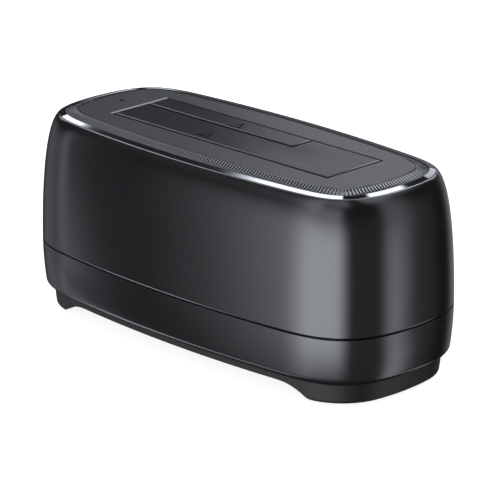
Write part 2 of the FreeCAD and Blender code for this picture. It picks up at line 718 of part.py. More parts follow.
def make_rubber_pads():
    pads = []
    for i, (x, y) in enumerate(long_screw_places):
        disc = cylinder(f"pad_disc_{i}", x, y, "0", "pad_radius", "pad_top")
        doc.recompute()
        low = [j for j, edge in enumerate(disc.Shape.Edges, 1) if edge.BoundBox.ZMax < same_level]
        soft = doc.addObject("Part::Fillet", f"pad_{i}")
        soft.Base = disc
        soft.Edges = [(j, number("foot_bottom") / 2, number("foot_bottom") / 2) for j in low]
        pads.append(soft)
    return group("rubber_pads", pads)


# Rings round the deck.
def make_trim_ring():
    return sweep("trim_ring", chain([("trim_outer", "deck_under"), ("trim_outer", "trim_low"),
                                     ("trim_inner", "trim_high"), ("trim_inner", "deck_under"),
                                     ("trim_outer", "deck_under")]))


def make_knurled_ring():
    low = "trim_high - trim_drop"
    return sweep("knurled_ring", chain([("knurl_outer", "deck_under"), ("knurl_outer", low),
                                        ("deck_inset", "deck_height"), ("deck_inset", "deck_under"),
                                        ("knurl_outer", "deck_under")]))


# Deck: plate with the drive opening, studs for the liner screws and brackets for the hinge rod.
bracket_places = ["end_arm_x - free_gap - bracket_width", "small_right + door_gap", "bay_right + free_gap"]


def add_knuckle(body, name, x, width, profile, hole):
    sketch = sketch_on(body, name, "YZ_Plane", x)
    add_polygon(sketch, profile)
    pad(body, name + "_arm", sketch, width)
    ring = sketch_on(body, name + "_ring", "YZ_Plane", x)
    add_circle(ring, "hinge_y", "hinge_z", "knuckle_radius")
    pad(body, name + "_eye", ring, width)
    bore = sketch_on(body, name + "_bore", "YZ_Plane", x)
    add_circle(bore, "hinge_y", "hinge_z", hole)
    return pocket(body, name + "_hole", bore, width, True)


def make_top_deck():
    body = new_body("top_deck")
    plate = sketch_on(body, "plate", "XY_Plane", "deck_under")
    add_outline(plate, "deck_inset")
    pad(body, "plate", plate, "deck_thickness")
    mouth = sketch_on(body, "mouth", "XY_Plane", "deck_height")
    add_rectangle(mouth, "bay_left", "bay_right", "bay_front", "bay_back")
    opened = pocket(body, "opening", mouth, "deck_thickness")
    level = at_height("deck_height")
    reach = number("bay_right") + 0.01
    rear = number("bay_back") + 0.01
    bevel(body, "bevel", opened, "bay_bevel",
          lambda bounds: level(bounds) and -bounds.XMin < reach and bounds.XMax < reach and bounds.YMax < rear
          and bounds.YMin > -rear)
    studs = sketch_on(body, "studs", "XY_Plane", "deck_under")
    for x, y in stud_places:
        add_circle(studs, x, y, "stud_radius")
    pad(body, "studs", studs, "flange_thickness", True)
    pilots = sketch_on(body, "pilots", "XY_Plane", "flange_under")
    for x, y in stud_places:
        add_circle(pilots, x, y, "screw_radius")
    pocket(body, "pilots", pilots, "screw_grip", True)
    window = sketch_on(body, "window", "XY_Plane", "deck_height")
    add_circle(window, "lamp_x", "lamp_y", "pipe_tip")
    pocket(body, "window", window, "deck_thickness")
    for i, x in enumerate(bracket_places):
        web = [("hinge_y - knuckle_radius", "hinge_z"), ("hinge_y + knuckle_radius", "hinge_z"),
               ("hinge_y + knuckle_radius", "deck_under"), ("hinge_y - knuckle_radius", "deck_under")]
        add_knuckle(body, f"bracket_{i}", x, "bracket_width", web, "rod_radius")
    return body


# Doors: flush panels on arms that reach back under the deck to one shared rod.
def arm_profile():
    front, rear = "bay_back - arm_root", "bay_back - door_gap - free_gap"
    return [(front, "arm_top - arm_height"), ("hinge_y", "arm_top - arm_height"), ("hinge_y", "arm_top"),
            (rear, "arm_top"), (rear, "door_under"), (front, "door_under")]


def add_mark(body, front):
    # A triangle inside a triangle: the line between them is sunk.
    sketch = sketch_on(body, "mark", "XY_Plane", "deck_height")
    toe = f"{front} - mark_length / 2"
    for scale, low in (("1", toe), ("mark_scale", f"{toe} + mark_line")):
        half = f"{scale} * mark_width / 2"
        add_polygon(sketch, [(f"-mark_left - {half}", low), (f"-mark_left + {half}", low),
                             ("-mark_left", f"{low} + {scale} * mark_length")])
    return pocket(body, "mark", sketch, "mark_depth")


def make_large_door():
    body = new_body("large_door")
    panel = sketch_on(body, "panel", "XY_Plane", "door_under")
    west, east = "bay_left + door_gap", "bay_right - door_gap"
    front, rear = "bay_front + swing_gap", "bay_back - door_gap"
    notch_x, notch_y = "small_right + door_gap / 2", "small_front - swing_gap / 2"
    add_polygon(panel, [(west, front), (east, front), (east, rear), (notch_x, rear), (notch_x, notch_y),
                        (west, notch_y)])
    plate = pad(body, "panel", panel, "door_thickness")
    bevel(body, "bevel", plate, "door_bevel", at_height("deck_height"))
    for i, x in enumerate(("small_right + bracket_width + door_gap + free_gap",
                           "bay_right - knuckle_width - wing_inset")):
        add_knuckle(body, f"knuckle_{i}", x, "knuckle_width", arm_profile(), "rod_radius + rod_play")
    wing = sketch_on(body, "wing", "XY_Plane", "arm_top")
    toe, heel = f"{front} + wing_inset", f"{notch_y} - wing_inset"
    add_rectangle(wing, "end_arm_x", f"{west} + wing_width", toe, heel)
    pad(body, "wing", wing, "arm_height", True)
    web = sketch_on(body, "web", "XY_Plane", "door_under")
    add_rectangle(web, f"{west} + free_gap", f"{west} + wing_width", toe, heel)
    pad(body, "web", web, "door_under - arm_top", True)
    end_arm = [(toe, "arm_top - arm_height"), ("hinge_y", "arm_top - arm_height"), ("hinge_y", "arm_top"),
               (toe, "arm_top")]
    add_knuckle(body, "end_knuckle", "end_arm_x", "end_arm_width", end_arm, "rod_radius + rod_play")
    add_mark(body, "bay_front + large_mark_front")
    return body


def make_small_door():
    body = new_body("small_door")
    panel = sketch_on(body, "panel", "XY_Plane", "door_under")
    add_rectangle(panel, "bay_left + door_gap", "small_right - door_gap / 2", "small_front + swing_gap / 2",
                  "bay_back - door_gap")
    plate = pad(body, "panel", panel, "door_thickness")
    bevel(body, "bevel", plate, "door_bevel", at_height("deck_height"))
    for i, x in enumerate(("bay_left + arm_inset", "small_right - knuckle_width - arm_inset")):
        add_knuckle(body, f"knuckle_{i}", x, "knuckle_width", arm_profile(), "rod_radius + rod_play")
    add_mark(body, "small_front + small_mark_front")
    return body


def make_hinge_rod():
    west, east = bracket_places[0], f"{bracket_places[2]} + bracket_width"
    return cylinder("hinge_rod", west, "hinge_y", "hinge_z", "rod_radius", f"({east}) - ({west})", "x")


def make_spring(name, start):
    # Quarter turns round the rod, one leg under the door panel and one down the liner behind it.
    wire, radius = number("spring_wire"), number("spring_radius")
    pitch = 1.2 * wire
    quarters = 4 * int(number("spring_turns")) + 1

    def on_coil(turn):
        angle = 2 * math.pi * turn
        return Vector(pitch * turn, radius * math.cos(angle), radius * math.sin(angle))

    arcs = [Part.Arc(*(on_coil((i + part) / 4) for part in (0, 0.5, 1))).toShape() for i in range(quarters)]
    ring = Part.Wire(Part.makeCircle(wire / 2, on_coil(0), Vector(0, 0, 1)))
    coil = Part.Wire(arcs).makePipeShell([ring], True, False)
    rear, top = on_coil(0), on_coil(quarters / 4)
    door = Vector(top.x, number("bay_back - leg_reach - hinge_y"),
                  number("door_under - hinge_z - 0.6 * spring_wire"))
    legs = [Part.makeCylinder(wire / 2, number("leg_length"), rear, Vector(0, 0, -1)),
            Part.makeCylinder(wire / 2, (door - top).Length, top, door - top)]
    joints = [Part.makeSphere(0.52 * wire, spot) for spot in (rear, top)]
    item = doc.addObject("Part::Feature", name)
    item.Shape = coil.multiFuse(legs + joints)
    return place(item, start, "hinge_y", "hinge_z")


# Bay liner: a narrow shaft for a drive below a wider pocket where the doors hang when open.
def make_bay_liner():
    body = new_body("bay_liner")
    shaft = sketch_on(body, "shaft", "XY_Plane", "liner_bottom")
    add_rectangle(shaft, "bay_left - liner_wall", "bay_right + liner_wall", "bay_front - liner_wall",
                  "bay_back + liner_wall")
    pad(body, "shaft", shaft, "shelf_height - liner_bottom")
    upper = sketch_on(body, "upper", "XY_Plane", "shelf_height - liner_wall")
    add_rectangle(upper, "-liner_half", "liner_half", "liner_front", "liner_back")
    pad(body, "upper", upper, "deck_under - shelf_height + liner_wall")
    room = sketch_on(body, "room", "XY_Plane", "shelf_height")
    add_rectangle(room, "-pocket_half", "pocket_half", "pocket_front", "pocket_back")
    pocket(body, "room", room, "deck_under - shelf_height", True)
    bay = sketch_on(body, "bay", "XY_Plane", "floor_height")
    add_rectangle(bay, "bay_left", "bay_right", "bay_front", "bay_back")
    pocket(body, "bay", bay, "shelf_height - floor_height", True)
    slot = sketch_on(body, "slot", "XY_Plane", "liner_bottom")
    add_rectangle(slot, "socket_x - socket_length / 2 - free_gap", "socket_x + socket_length / 2 + free_gap",
                  "socket_y - socket_width / 2 - free_gap", "socket_y + socket_width / 2 + free_gap")
    pocket(body, "slot", slot, "liner_floor", True)
    relief = sketch_on(body, "relief", "XY_Plane", "hinge_z - knuckle_radius - 2 * free_gap")
    add_rectangle(relief, "-liner_half", "liner_half", "bay_back", "liner_back")
    pocket(body, "relief", relief, "deck_under", True)
    ears = sketch_on(body, "ears", "XY_Plane", "ear_under")
    for side in (-1, 1):
        add_rectangle(ears, f"{side} * ear_spread - ear_width / 2", f"{side} * ear_spread + ear_width / 2",
                      "flange_inset - half_width - ear_overlap", "liner_front")
    near, far = "liner_half", "half_length - flange_inset + ear_overlap"
    add_rectangle(ears, f"-({far})", f"-{near}", "ear_rear - ear_width / 2", "ear_rear + ear_width / 2")
    add_rectangle(ears, near, far, "ear_rear - ear_width / 2", "ear_rear + ear_width / 2")
    pad(body, "ears", ears, "ear_thickness")
    ways = sketch_on(body, "ways", "XY_Plane", "ear_under")
    for x, y in stud_places:
        add_circle(ways, x, y, "screw_radius + hole_play")
    pocket(body, "ways", ways, "ear_thickness", True)
    return body


# Electronics on the main board.
def make_main_board():
    body = new_body("main_board")
    sketch = sketch_on(body, "plate", "XY_Plane", "board_bottom")
    west, tip = "-board_left", "lamp_x - tab_length"
    low, high = "lamp_y - tab_width / 2", "lamp_y + tab_width / 2"
    add_polygon(sketch, [(west, "-board_front"), ("board_right", "-board_front"),
                         ("board_right", "board_rear"), (west, "board_rear"), (west, high), (tip, high),
                         (tip, low), (west, low)])
    pad(body, "plate", sketch, "board_thickness")
    holes = sketch_on(body, "holes", "XY_Plane", "board_top")
    for x, y in board_screw_places:
        add_circle(holes, x, y, "screw_radius + hole_play")
    pocket(body, "holes", holes, "board_thickness")
    return body


contact_rows = [("signal", "socket_x - signal_start"), ("power", "socket_x - power_start")]


def make_sata_socket():
    body = new_body("sata_socket")
    sketch = sketch_on(body, "block", "XY_Plane", "board_top")
    add_rectangle(sketch, "socket_x - socket_length / 2", "socket_x + socket_length / 2",
                  "socket_y - socket_width / 2", "socket_y + socket_width / 2")
    pad(body, "block", sketch, "socket_height")
    for name, start in contact_rows:
        front, rear = "socket_y - slot_width / 2", "socket_y + slot_width / 2"
        slot = sketch_on(body, name, "XY_Plane", "socket_top")
        add_rectangle(slot, start, f"{start} + {name}_count * contact_pitch + slot_width", front, rear)
        pocket(body, name, slot, "slot_depth")
        key = sketch_on(body, name + "_key", "XY_Plane", "socket_top")
        add_rectangle(key, start, f"{start} + slot_key", f"{front} - slot_key", front)
        pocket(body, name + "_key", key, "slot_depth")
    return body


def make_sata_contacts():
    blades = []
    rear = "socket_y + slot_width / 2"
    for name, start in contact_rows:
        for i in range(round(number(name + "_count"))):
            middle = f"{start} + {i + 0.5} * contact_pitch + slot_width / 2"
            blades.append(box(f"{name}_contact_{i}", f"{middle} - contact_width / 2",
                              f"{middle} + contact_width / 2", f"{rear} - contact_thickness", rear,
                              "socket_top - slot_depth", "socket_top - contact_drop"))
    return group("sata_contacts", blades)


def on_board(name, x, y, width, depth, height):
    return box(name, f"{x} - {width} / 2", f"{x} + {width} / 2", f"{y} - {depth} / 2", f"{y} + {depth} / 2",
               "board_top", f"board_top + {height}")


def make_capacitors():
    cans = []
    for i in range(2):
        x = f"capacitor_inset - board_left + {i} * (2 * capacitor_radius + part_gap)"
        cans.append(cylinder(f"capacitor_{i}", x, "bay_back + 2 * liner_wall + capacitor_radius", "board_top",
                             "capacitor_radius", "capacitor_height"))
    return group("filter_capacitors", cans)


def make_board_parts():
    crystal_x = "chip_right + chip_width / 2 + crystal_length / 2 + part_gap"
    return [
        on_board("bridge_chip", "chip_right", "0", "chip_width", "chip_width", "chip_height"),
        on_board("clock_crystal", crystal_x, "0", "crystal_length", "crystal_width", "crystal_height"),
        on_board("power_inductor", "port_pitch / 2", "board_rear - inductor_width / 2 - part_gap",
                 "inductor_width", "inductor_width", "inductor_height"),
        on_board("status_lamp", "lamp_x", "lamp_y", "lamp_length", "lamp_width", "lamp_height"),
        make_capacitors(),
    ]


# Rear ports and the power button.
def make_usb_socket():
    body = new_body("usb_socket")
    outer = sketch_on(body, "outer", "XZ_Plane", "-usb_front")
    add_stadium(outer, "0", "usb_z", "usb_width", "usb_height")
    pad(body, "outer", outer, "usb_depth")
    inner = sketch_on(body, "inner", "XZ_Plane", "-usb_front")
    add_stadium(inner, "0", "usb_z", "usb_width - 2 * usb_wall", "usb_height - 2 * usb_wall")
    pocket(body, "inner", inner, "usb_depth - usb_wall", True)
    return body


def make_usb_tongue():
    return box("usb_tongue", "-tongue_width / 2", "tongue_width / 2", "usb_front - usb_depth + usb_wall",
               "usb_front - tongue_inset", "usb_z - tongue_thickness / 2", "usb_z + tongue_thickness / 2")


def make_dc_jack():
    block = box("jack_block", "-port_pitch - jack_width / 2", "jack_width / 2 - port_pitch",
                "panel_inner - jack_depth", "panel_inner", "board_top", "board_top + jack_height")
    bore = cylinder("jack_hole", "-port_pitch", "panel_inner - jack_bore_depth", "jack_z", "jack_bore",
                    "jack_bore_depth + overcut", "y")
    return cut("dc_jack", block, [bore])


def make_dc_pin():
    return cylinder("dc_pin", "-port_pitch", "panel_inner - jack_bore_depth", "jack_z", "pin_radius",
                    "jack_bore_depth - pin_inset", "y")


def make_power_switch():
    block = box("switch_block", "port_pitch - switch_width / 2", "port_pitch + switch_width / 2",
                "switch_front - switch_depth", "switch_front", "board_top", "board_top + switch_height")
    half = "(stem_width / 2 + free_gap)"
    well = box("switch_well", f"port_pitch - {half}", f"port_pitch + {half}", "switch_front - well_depth",
               "switch_front + overcut", f"button_z - {half}", f"button_z + {half}")
    return cut("power_switch", block, [well])


def make_power_button():
    body = new_body("power_button")
    back = "panel_inner - free_gap - button_flange"
    cap = sketch_on(body, "cap", "XZ_Plane", f"-({back})")
    add_circle(cap, "port_pitch", "button_z", "button_radius")
    base = pad(body, "cap", cap, f"panel_face + button_proud - ({back})", True)
    face = number("panel_face + button_proud")
    edges = [f"Edge{i}" for i, edge in enumerate(base.Shape.Edges, 1) if edge.BoundBox.YMin > face - 1e-4]
    soft = body.newObject("PartDesign::Fillet", "power_button_edge")
    soft.Base = (base, edges)
    drive(soft, "Radius", "button_proud / 2")
    body.Tip = soft
    doc.recompute()
    rim = sketch_on(body, "rim", "XZ_Plane", f"-({back})")
    add_circle(rim, "port_pitch", "button_z", "button_radius + button_rim")
    pad(body, "rim", rim, "button_flange", True)
    stem = sketch_on(body, "stem", "XZ_Plane", f"-({back})")
    add_rectangle(stem, "port_pitch - stem_width / 2", "port_pitch + stem_width / 2",
                  "button_z - stem_width / 2", "button_z + stem_width / 2")
    pad(body, "stem", stem, f"{back} - switch_front + stem_depth")
    return body


# Status lamp and the clear pipe that carries its light to the deck.
def make_light_pipe():
    start = "board_top + lamp_height + lamp_gap"
    stem = cylinder("pipe_stem", "lamp_x", "lamp_y", start, "pipe_radius", f"deck_under - ({start})")
    tip = cylinder("pipe_end", "lamp_x", "lamp_y", "deck_under", "pipe_tip", "deck_thickness - lip_gap")
    return fuse("light_pipe", [stem, tip])


def screws(name, places, head_low, head, head_height, shank_low, shank, shank_length):
    items = []
    for i, (x, y) in enumerate(places):
        parts = [cylinder(f"{name}_head_{i}", x, y, head_low, head, head_height),
                 cylinder(f"{name}_shank_{i}", x, y, shank_low, shank, shank_length)]
        items.append(fuse(f"{name}_{i}", parts))
    return group(name, items)


def make_screws():
    return [
        screws("bay_screws", stud_places, "ear_under - screw_head_height", "screw_head", "screw_head_height",
               "ear_under", "screw_radius", "ear_thickness + screw_grip - hole_play"),
        screws("board_screws", board_screw_places, "board_top", "screw_head", "screw_head_height",
               "board_bottom - screw_grip + hole_play", "screw_radius",
               "board_thickness + screw_grip - hole_play"),
        screws("base_screws", long_screw_places, "pad_top", "long_head", "long_head_height",
               "pad_top + long_head_height", "long_radius",
               "post_joint + long_grip - pad_top - long_head_height"),
    ]


nodes = [
    make_upper_shell(), make_base_shell(), make_plinth(), make_rubber_pads(), make_trim_ring(),
    make_knurled_ring(),
    make_top_deck(), make_large_door(), make_small_door(), make_hinge_rod(),
    make_spring("large_door_spring", "small_right + bracket_width + knuckle_width + arm_inset"),
    make_spring("small_door_spring", "bay_left + knuckle_width + 2 * arm_inset"),
    make_bay_liner(), make_main_board(), make_sata_socket(), make_sata_contacts(),
    make_usb_socket(), make_usb_tongue(), make_dc_jack(), make_dc_pin(), make_power_switch(),
    make_power_button(), make_light_pipe(),
] + make_board_parts() + make_screws()
doc.recompute()

os.makedirs("parts", exist_ok=True)
for node in nodes:
    if "Invalid" in node.State or "Error" in node.State:
        raise RuntimeError(node.Label + " did not rebuild")
    if node.Shape.isNull() or not node.Shape.isValid():
        raise RuntimeError(node.Label + " has no valid shape")
    node.Shape.exportStep(f"parts/{node.Label}.step")
    bounds = node.Shape.BoundBox
    print(f"{node.Label}: {len(node.Shape.Solids)} solids, {node.Shape.Volume:.0f} mm3, "
          f"Z {bounds.ZMin:.2f} to {bounds.ZMax:.2f}")
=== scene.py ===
import math

import bmesh
import bpy
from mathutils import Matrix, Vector


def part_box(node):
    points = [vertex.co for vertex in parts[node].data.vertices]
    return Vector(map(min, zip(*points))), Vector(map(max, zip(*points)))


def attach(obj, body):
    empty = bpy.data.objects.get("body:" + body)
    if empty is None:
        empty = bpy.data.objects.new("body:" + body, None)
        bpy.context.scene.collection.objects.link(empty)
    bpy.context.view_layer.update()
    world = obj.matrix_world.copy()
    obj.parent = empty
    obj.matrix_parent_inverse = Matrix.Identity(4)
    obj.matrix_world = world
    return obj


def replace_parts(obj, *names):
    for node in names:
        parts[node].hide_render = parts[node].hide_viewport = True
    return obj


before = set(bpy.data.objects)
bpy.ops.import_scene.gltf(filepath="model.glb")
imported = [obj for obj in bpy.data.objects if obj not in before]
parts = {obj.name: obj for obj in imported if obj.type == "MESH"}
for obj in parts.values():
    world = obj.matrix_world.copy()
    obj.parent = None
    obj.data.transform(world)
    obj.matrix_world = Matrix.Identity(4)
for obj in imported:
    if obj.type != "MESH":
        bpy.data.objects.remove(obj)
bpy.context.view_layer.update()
scene = bpy.context.scene
scene.view_settings.view_transform = "Standard"
mm = 0.001


# node helpers: a socket links, anything else is set
def put(tree, kind, inputs=None, **settings):
    node = tree.nodes.new(kind)
    for key, value in settings.items():
        setattr(node, key, value)
    for socket, value in (inputs or {}).items():
        if isinstance(value, bpy.types.NodeSocket):
            tree.links.new(value, node.inputs[socket])
        else:
            node.inputs[socket].default_value = value
    return node


def calc(tree, operation, first, second=0.0, third=0.0):
    return put(tree, "ShaderNodeMath", {0: first, 1: second, 2: third}, operation=operation).outputs[0]


def ramp(tree, value, low, high):
    reach = {0: value, 1: low, 2: high}
    return put(tree, "ShaderNodeMapRange", reach, interpolation_type="SMOOTHSTEP").outputs[0]


def blendColour(tree, share, first, second):
    sockets = {"Factor": share, "A": first, "B": second}
    return put(tree, "ShaderNodeMix", sockets, data_type="RGBA").outputs[2]


def startGroup(name, inputs, outputs):
    group = bpy.data.node_groups.new(name, "ShaderNodeTree")
    for label, kind, value in inputs:
        socket = group.interface.new_socket(label, in_out="INPUT", socket_type="NodeSocket" + kind)
        socket.default_value = value
    for label, kind in outputs:
        group.interface.new_socket(label, in_out="OUTPUT", socket_type="NodeSocket" + kind)
    return group, group.nodes.new("NodeGroupInput").outputs, group.nodes.new("NodeGroupOutput").inputs


blueLift = 1.5  # a cool tone gains this much more blue than it loses red


def tone(grey, cool=0.0):
    return (grey * (1 - cool), grey, grey * (1 + blueLift * cool), 1)


# places by direction: azimuth 0 is in front of the object, 90 at its right end
def headingOf(look):
    az, el = math.radians(look["azimuth"]), math.radians(look["elevation"])
    return Vector((math.sin(az) * math.cos(el), -math.cos(az) * math.cos(el), math.sin(el)))


def lookBack(thing, heading):
    thing.rotation_euler = (-heading).to_track_quat("-Z", "Y").to_euler()


# camera at the photograph's angle, lens for a square frame
cameraSpot = {
    "azimuth": 45.15, "elevation": 19.19, "distance": 1.12637,
    "across": 0.0026, "upward": 0.02994,  # the aim, moved in the picture plane
    "lens": 228.66, "sensor": 36, "nearest": 0.05, "farthest": 20,
}


def placeCamera(spot):
    back = headingOf(spot)
    turn = math.radians(spot["azimuth"])
    right = Vector((math.cos(turn), math.sin(turn), 0))
    upward = back.cross(right)
    data = bpy.data.cameras.new("photoCamera")
    data.lens = spot["lens"]
    data.sensor_width = spot["sensor"]
    data.clip_start = spot["nearest"]
    data.clip_end = spot["farthest"]
    camera = bpy.data.objects.new("photoCamera", data)
    scene.collection.objects.link(camera)
    camera.location = back * spot["distance"] + right * spot["across"] + upward * spot["upward"]
    lookBack(camera, back)
    scene.camera = camera


placeCamera(cameraSpot)
print("camera placed")

# studio: soft boxes all round, seen by direction only
studio = {
    "dim": 0.03,
    "tint": (0.93, 0.965, 1.03, 1),
    # azimuth from, to, edge softness left, right, elevation from, to, edge softness low, high, strength
    "boxes": {
        "frontBox": (-22, 46, 17, 18, -30, 4, 10, 8, 6.4),
        "frontFade": (-40, -14, 9, 8, -40, 12, 12, 10, 0.9),
        "frontBoxTop": (-24, 42, 12, 14, 4, 30, 8, 14, 2.2),
        "rimFront": (-66, -14, 14, 12, 25, 58, 12, 10, 0.2),
        "rimRight": (-32, -2, 15, 10, 26, 64, 12, 10, 1.8),
        "rimCorner": (0, 62, 12, 14, 38, 72, 12, 10, 1.55),
        "rimEnd": (100, 158, 12, 12, 38, 68, 12, 8, 1.9),
        "rightFill": (48, 150, 8, 12, -40, 8, 12, 12, 0.22),
        "rightBox": (111, 129, 9, 8, -24, -5, 3, 8, 2.3),
        "rightLow": (116, 134, 9, 8, -44, -24, 10, 3, 2.4),
        "rightBoxTop": (112, 132, 6, 8, -5, 40, 8, 12, 1.2),
        "leftBox": (-64, -59.0, 3, 1.5, -23, 14, 3, 8, 1.3),
        "leftWide": (-98, -63, 18, 4, -40, 4, 8, 8, 0.42),
        "leftLow": (-70, -65.4, 3, 1.2, -44, -23, 8, 3, 0.85),
        "roofBoxLeft": (-136.4, -80, 0.5, 6, 38, 72, 0.8, 6, 2.8),
        "roofBoxRight": (-168, -147, 5, 0.6, 35.5, 43, 0.6, 1.5, 2.8),
        "roofBoxHigh": (-172, -137, 6, 2, 53, 75, 3, 6, 3.0),
        "ribBox": (-190, -151.5, 4, 1, 42, 56, 2, 3, 9.0),
        "ribRight": (-182, -156, 4, 2, 20, 42, 3, 2, 3.5),
        "ribLeft": (-110, -90, 2, 3, 20, 47, 4, 2, 3.6),
        "rearPanel": (-124.5, -112, 1, 4, 22.5, 31.75, 1, 0.3, 2.8),
        "topBox": (-225, -45, 10, 10, 66, 91, 5, 0.1, 2.5),
        "rearGlow": (180, 218, 12, 10, -26, 12, 10, 10, 0.38),
        "floorFront": (-90, -36, 4, 4, -45.5, -39.5, 1, 1.5, 2.7),
        "floorRight": (126, 182, 4, 4, -45.5, -39.5, 1, 1.5, 1.3),
    },
}


def softBox(tree, azimuth, elevation, box):
    west, east, westEdge, eastEdge, low, high, lowEdge, highEdge, strength = box
    turn = calc(tree, "SUBTRACT", azimuth, math.radians((west + east) / 2))
    turn = calc(tree, "WRAP", turn, math.pi, -math.pi)
    half = math.radians((east - west) / 2)
    sides = (
        (calc(tree, "ADD", turn, half), westEdge),
        (calc(tree, "SUBTRACT", half, turn), eastEdge),
        (calc(tree, "SUBTRACT", elevation, math.radians(low)), lowEdge),
        (calc(tree, "SUBTRACT", math.radians(high), elevation), highEdge),
    )
    light = strength
    for inside, edge in sides:
        light = calc(tree, "MULTIPLY", light, ramp(tree, inside, -math.radians(edge), math.radians(edge)))
    return light


def buildStudio(look):
    world = bpy.data.worlds.new("studio")
    scene.world = world
    world.use_nodes = True
    tree = world.node_tree
    tree.nodes.clear()
    way = put(tree, "ShaderNodeTexCoord").outputs["Generated"]
    heading = put(tree, "ShaderNodeSeparateXYZ", {0: way}).outputs
    azimuth = calc(tree, "ARCTAN2", heading[0], calc(tree, "MULTIPLY", heading[1], -1.0))
    elevation = calc(tree, "ARCSINE", heading[2])
    total = look["dim"]
    for box in look["boxes"].values():
        total = calc(tree, "ADD", softBox(tree, azimuth, elevation, box), total)
    glow = put(tree, "ShaderNodeBackground", {"Color": look["tint"], "Strength": total})
    put(tree, "ShaderNodeOutputWorld", {"Surface": glow.outputs[0]})


buildStudio(studio)

# small panel behind the right end: the deck mirrors it, so the top fades towards the left
deckLamp = {
    "aim": (222, -5, 73.4), "reach": 700,  # mm
    "azimuth": -135, "elevation": 17,
    "width": 0.3, "height": 0.18, "glow": 1.0,
}


def hangLamp(look):
    heading = headingOf(look)
    data = bpy.data.lights.new("deckLamp", "AREA")
    data.shape = "RECTANGLE"
    data.size = look["width"]
    data.size_y = look["height"]
    data.energy = look["glow"] * math.pi * look["width"] * look["height"]
    data.color = studio["tint"][:3]
    lamp = bpy.data.objects.new("deckLamp", data)
    scene.collection.objects.link(lamp)
    lamp.location = (Vector(look["aim"]) + heading * look["reach"]) * mm
    lookBack(lamp, heading)
    lamp.visible_camera = False


hangLamp(deckLamp)


# mesh helpers: a band of faces between two closed rows, and a smooth mesh from a finished shape
def bridge(shape, near, far):
    for i in range(len(near)):
        j = (i + 1) % len(near)
        shape.faces.new((near[i], near[j], far[j], far[i]))


def smoothMesh(name, shape):
    mesh = bpy.data.meshes.new(name)
    shape.to_mesh(mesh)
    shape.free()
    mesh.polygons.foreach_set("use_smooth", [True] * len(mesh.polygons))
    return mesh


# round white sweep: flat floor that turns up into a wall; mirrors look past it at the soft boxes
sweep = {
    "flat": 2.4, "bend": 0.6, "wall": 3.0, "around": 96, "bendSteps": 10,
    "glow": 0.88, "white": 0.34, "cloud": 3.0, "cloudDetail": 2.0, "cloudLift": 1.03,
}


def sweepPaint(look):
    paint = bpy.data.materials.new("sweepPaint")
    paint.use_nodes = True
    tree = paint.node_tree
    tree.nodes.clear()
    cloud = put(tree, "ShaderNodeTexNoise", {"Scale": look["cloud"], "Detail": look["cloudDetail"]})
    bright = look["white"] * look["cloudLift"]
    white = blendColour(tree, cloud.outputs["Fac"], tone(look["white"]), tone(bright))
    matt = put(tree, "ShaderNodeBsdfDiffuse", {"Color": white})
    glow = put(tree, "ShaderNodeEmission", {"Color": (1, 1, 1, 1), "Strength": look["glow"]})
    both = put(tree, "ShaderNodeAddShader", {0: matt.outputs[0], 1: glow.outputs[0]})
    put(tree, "ShaderNodeOutputMaterial", {"Surface": both.outputs[0]})
    return paint


def buildSweep(look):
    profile = [(look["flat"], 0.0)]
    for i in range(1, look["bendSteps"] + 1):
        angle = math.pi / 2 * i / look["bendSteps"]
        profile.append((look["flat"] + look["bend"] * math.sin(angle), look["bend"] * (1 - math.cos(angle))))
    profile.append((look["flat"] + look["bend"], look["wall"]))
    turns = [2 * math.pi * k / look["around"] for k in range(look["around"])]
    shape = bmesh.new()
    middle = shape.verts.new((0, 0, 0))
    rings = [[shape.verts.new((radius * math.cos(a), radius * math.sin(a), height)) for a in turns]
             for radius, height in profile]
    for here, following in zip(rings[0], rings[0][1:] + rings[0][:1]):
        shape.faces.new((middle, here, following))
    for inner, outer in zip(rings, rings[1:]):
        bridge(shape, outer, inner)
    mesh = smoothMesh("whiteSweep", shape)
    mesh.materials.append(sweepPaint(look))
    floor = bpy.data.objects.new("whiteSweep", mesh)
    scene.collection.objects.link(floor)
    floor.visible_glossy = False
    floor.visible_diffuse = False
    floor.visible_shadow = False


buildSweep(sweep)
print("studio and sweep built")

# shared surface effects: moulded grain, drawn metal and eased edges
grainMix = {"broadShare": 0.7, "fineShare": 0.3, "broadDetail": 3.0, "fineDetail": 2.0}
drawnDetail = 3.0
edgeSamples = 6
noiseMiddle = 0.5
effectOutputs = [("Colour", "Color"), ("Roughness", "Float"), ("Height", "Float")]


def noise(tree, place, scale, detail):
    values = {"Vector": place, "Scale": scale, "Detail": detail}
    return put(tree, "ShaderNodeTexNoise", values).outputs["Fac"]


def endEffect(group, given, made, mask, height):
    swing = calc(group, "MULTIPLY", calc(group, "SUBTRACT", mask, noiseMiddle), given["Spread"])
    group.links.new(blendColour(group, mask, given["Dark"], given["Light"]), made["Colour"])
    group.links.new(calc(group, "ADD", given["Roughness"], swing), made["Roughness"])
    group.links.new(height, made["Height"])
    return group


def buildGrain(mix):
    group, given, made = startGroup("mouldedGrain", [
        ("Dark", "Color", tone(0.01)), ("Light", "Color", tone(0.02)), ("Fine", "Float", 4000.0),
        ("Broad", "Float", 60.0), ("Roughness", "Float", 0.4), ("Spread", "Float", 0.05)], effectOutputs)
    place = put(group, "ShaderNodeTexCoord").outputs["Object"]
    broad = noise(group, place, given["Broad"], mix["broadDetail"])
    fine = noise(group, place, given["Fine"], mix["fineDetail"])
    mixed = calc(group, "ADD", calc(group, "MULTIPLY", broad, mix["broadShare"]),
                 calc(group, "MULTIPLY", fine, mix["fineShare"]))
    return endEffect(group, given, made, mixed, fine)


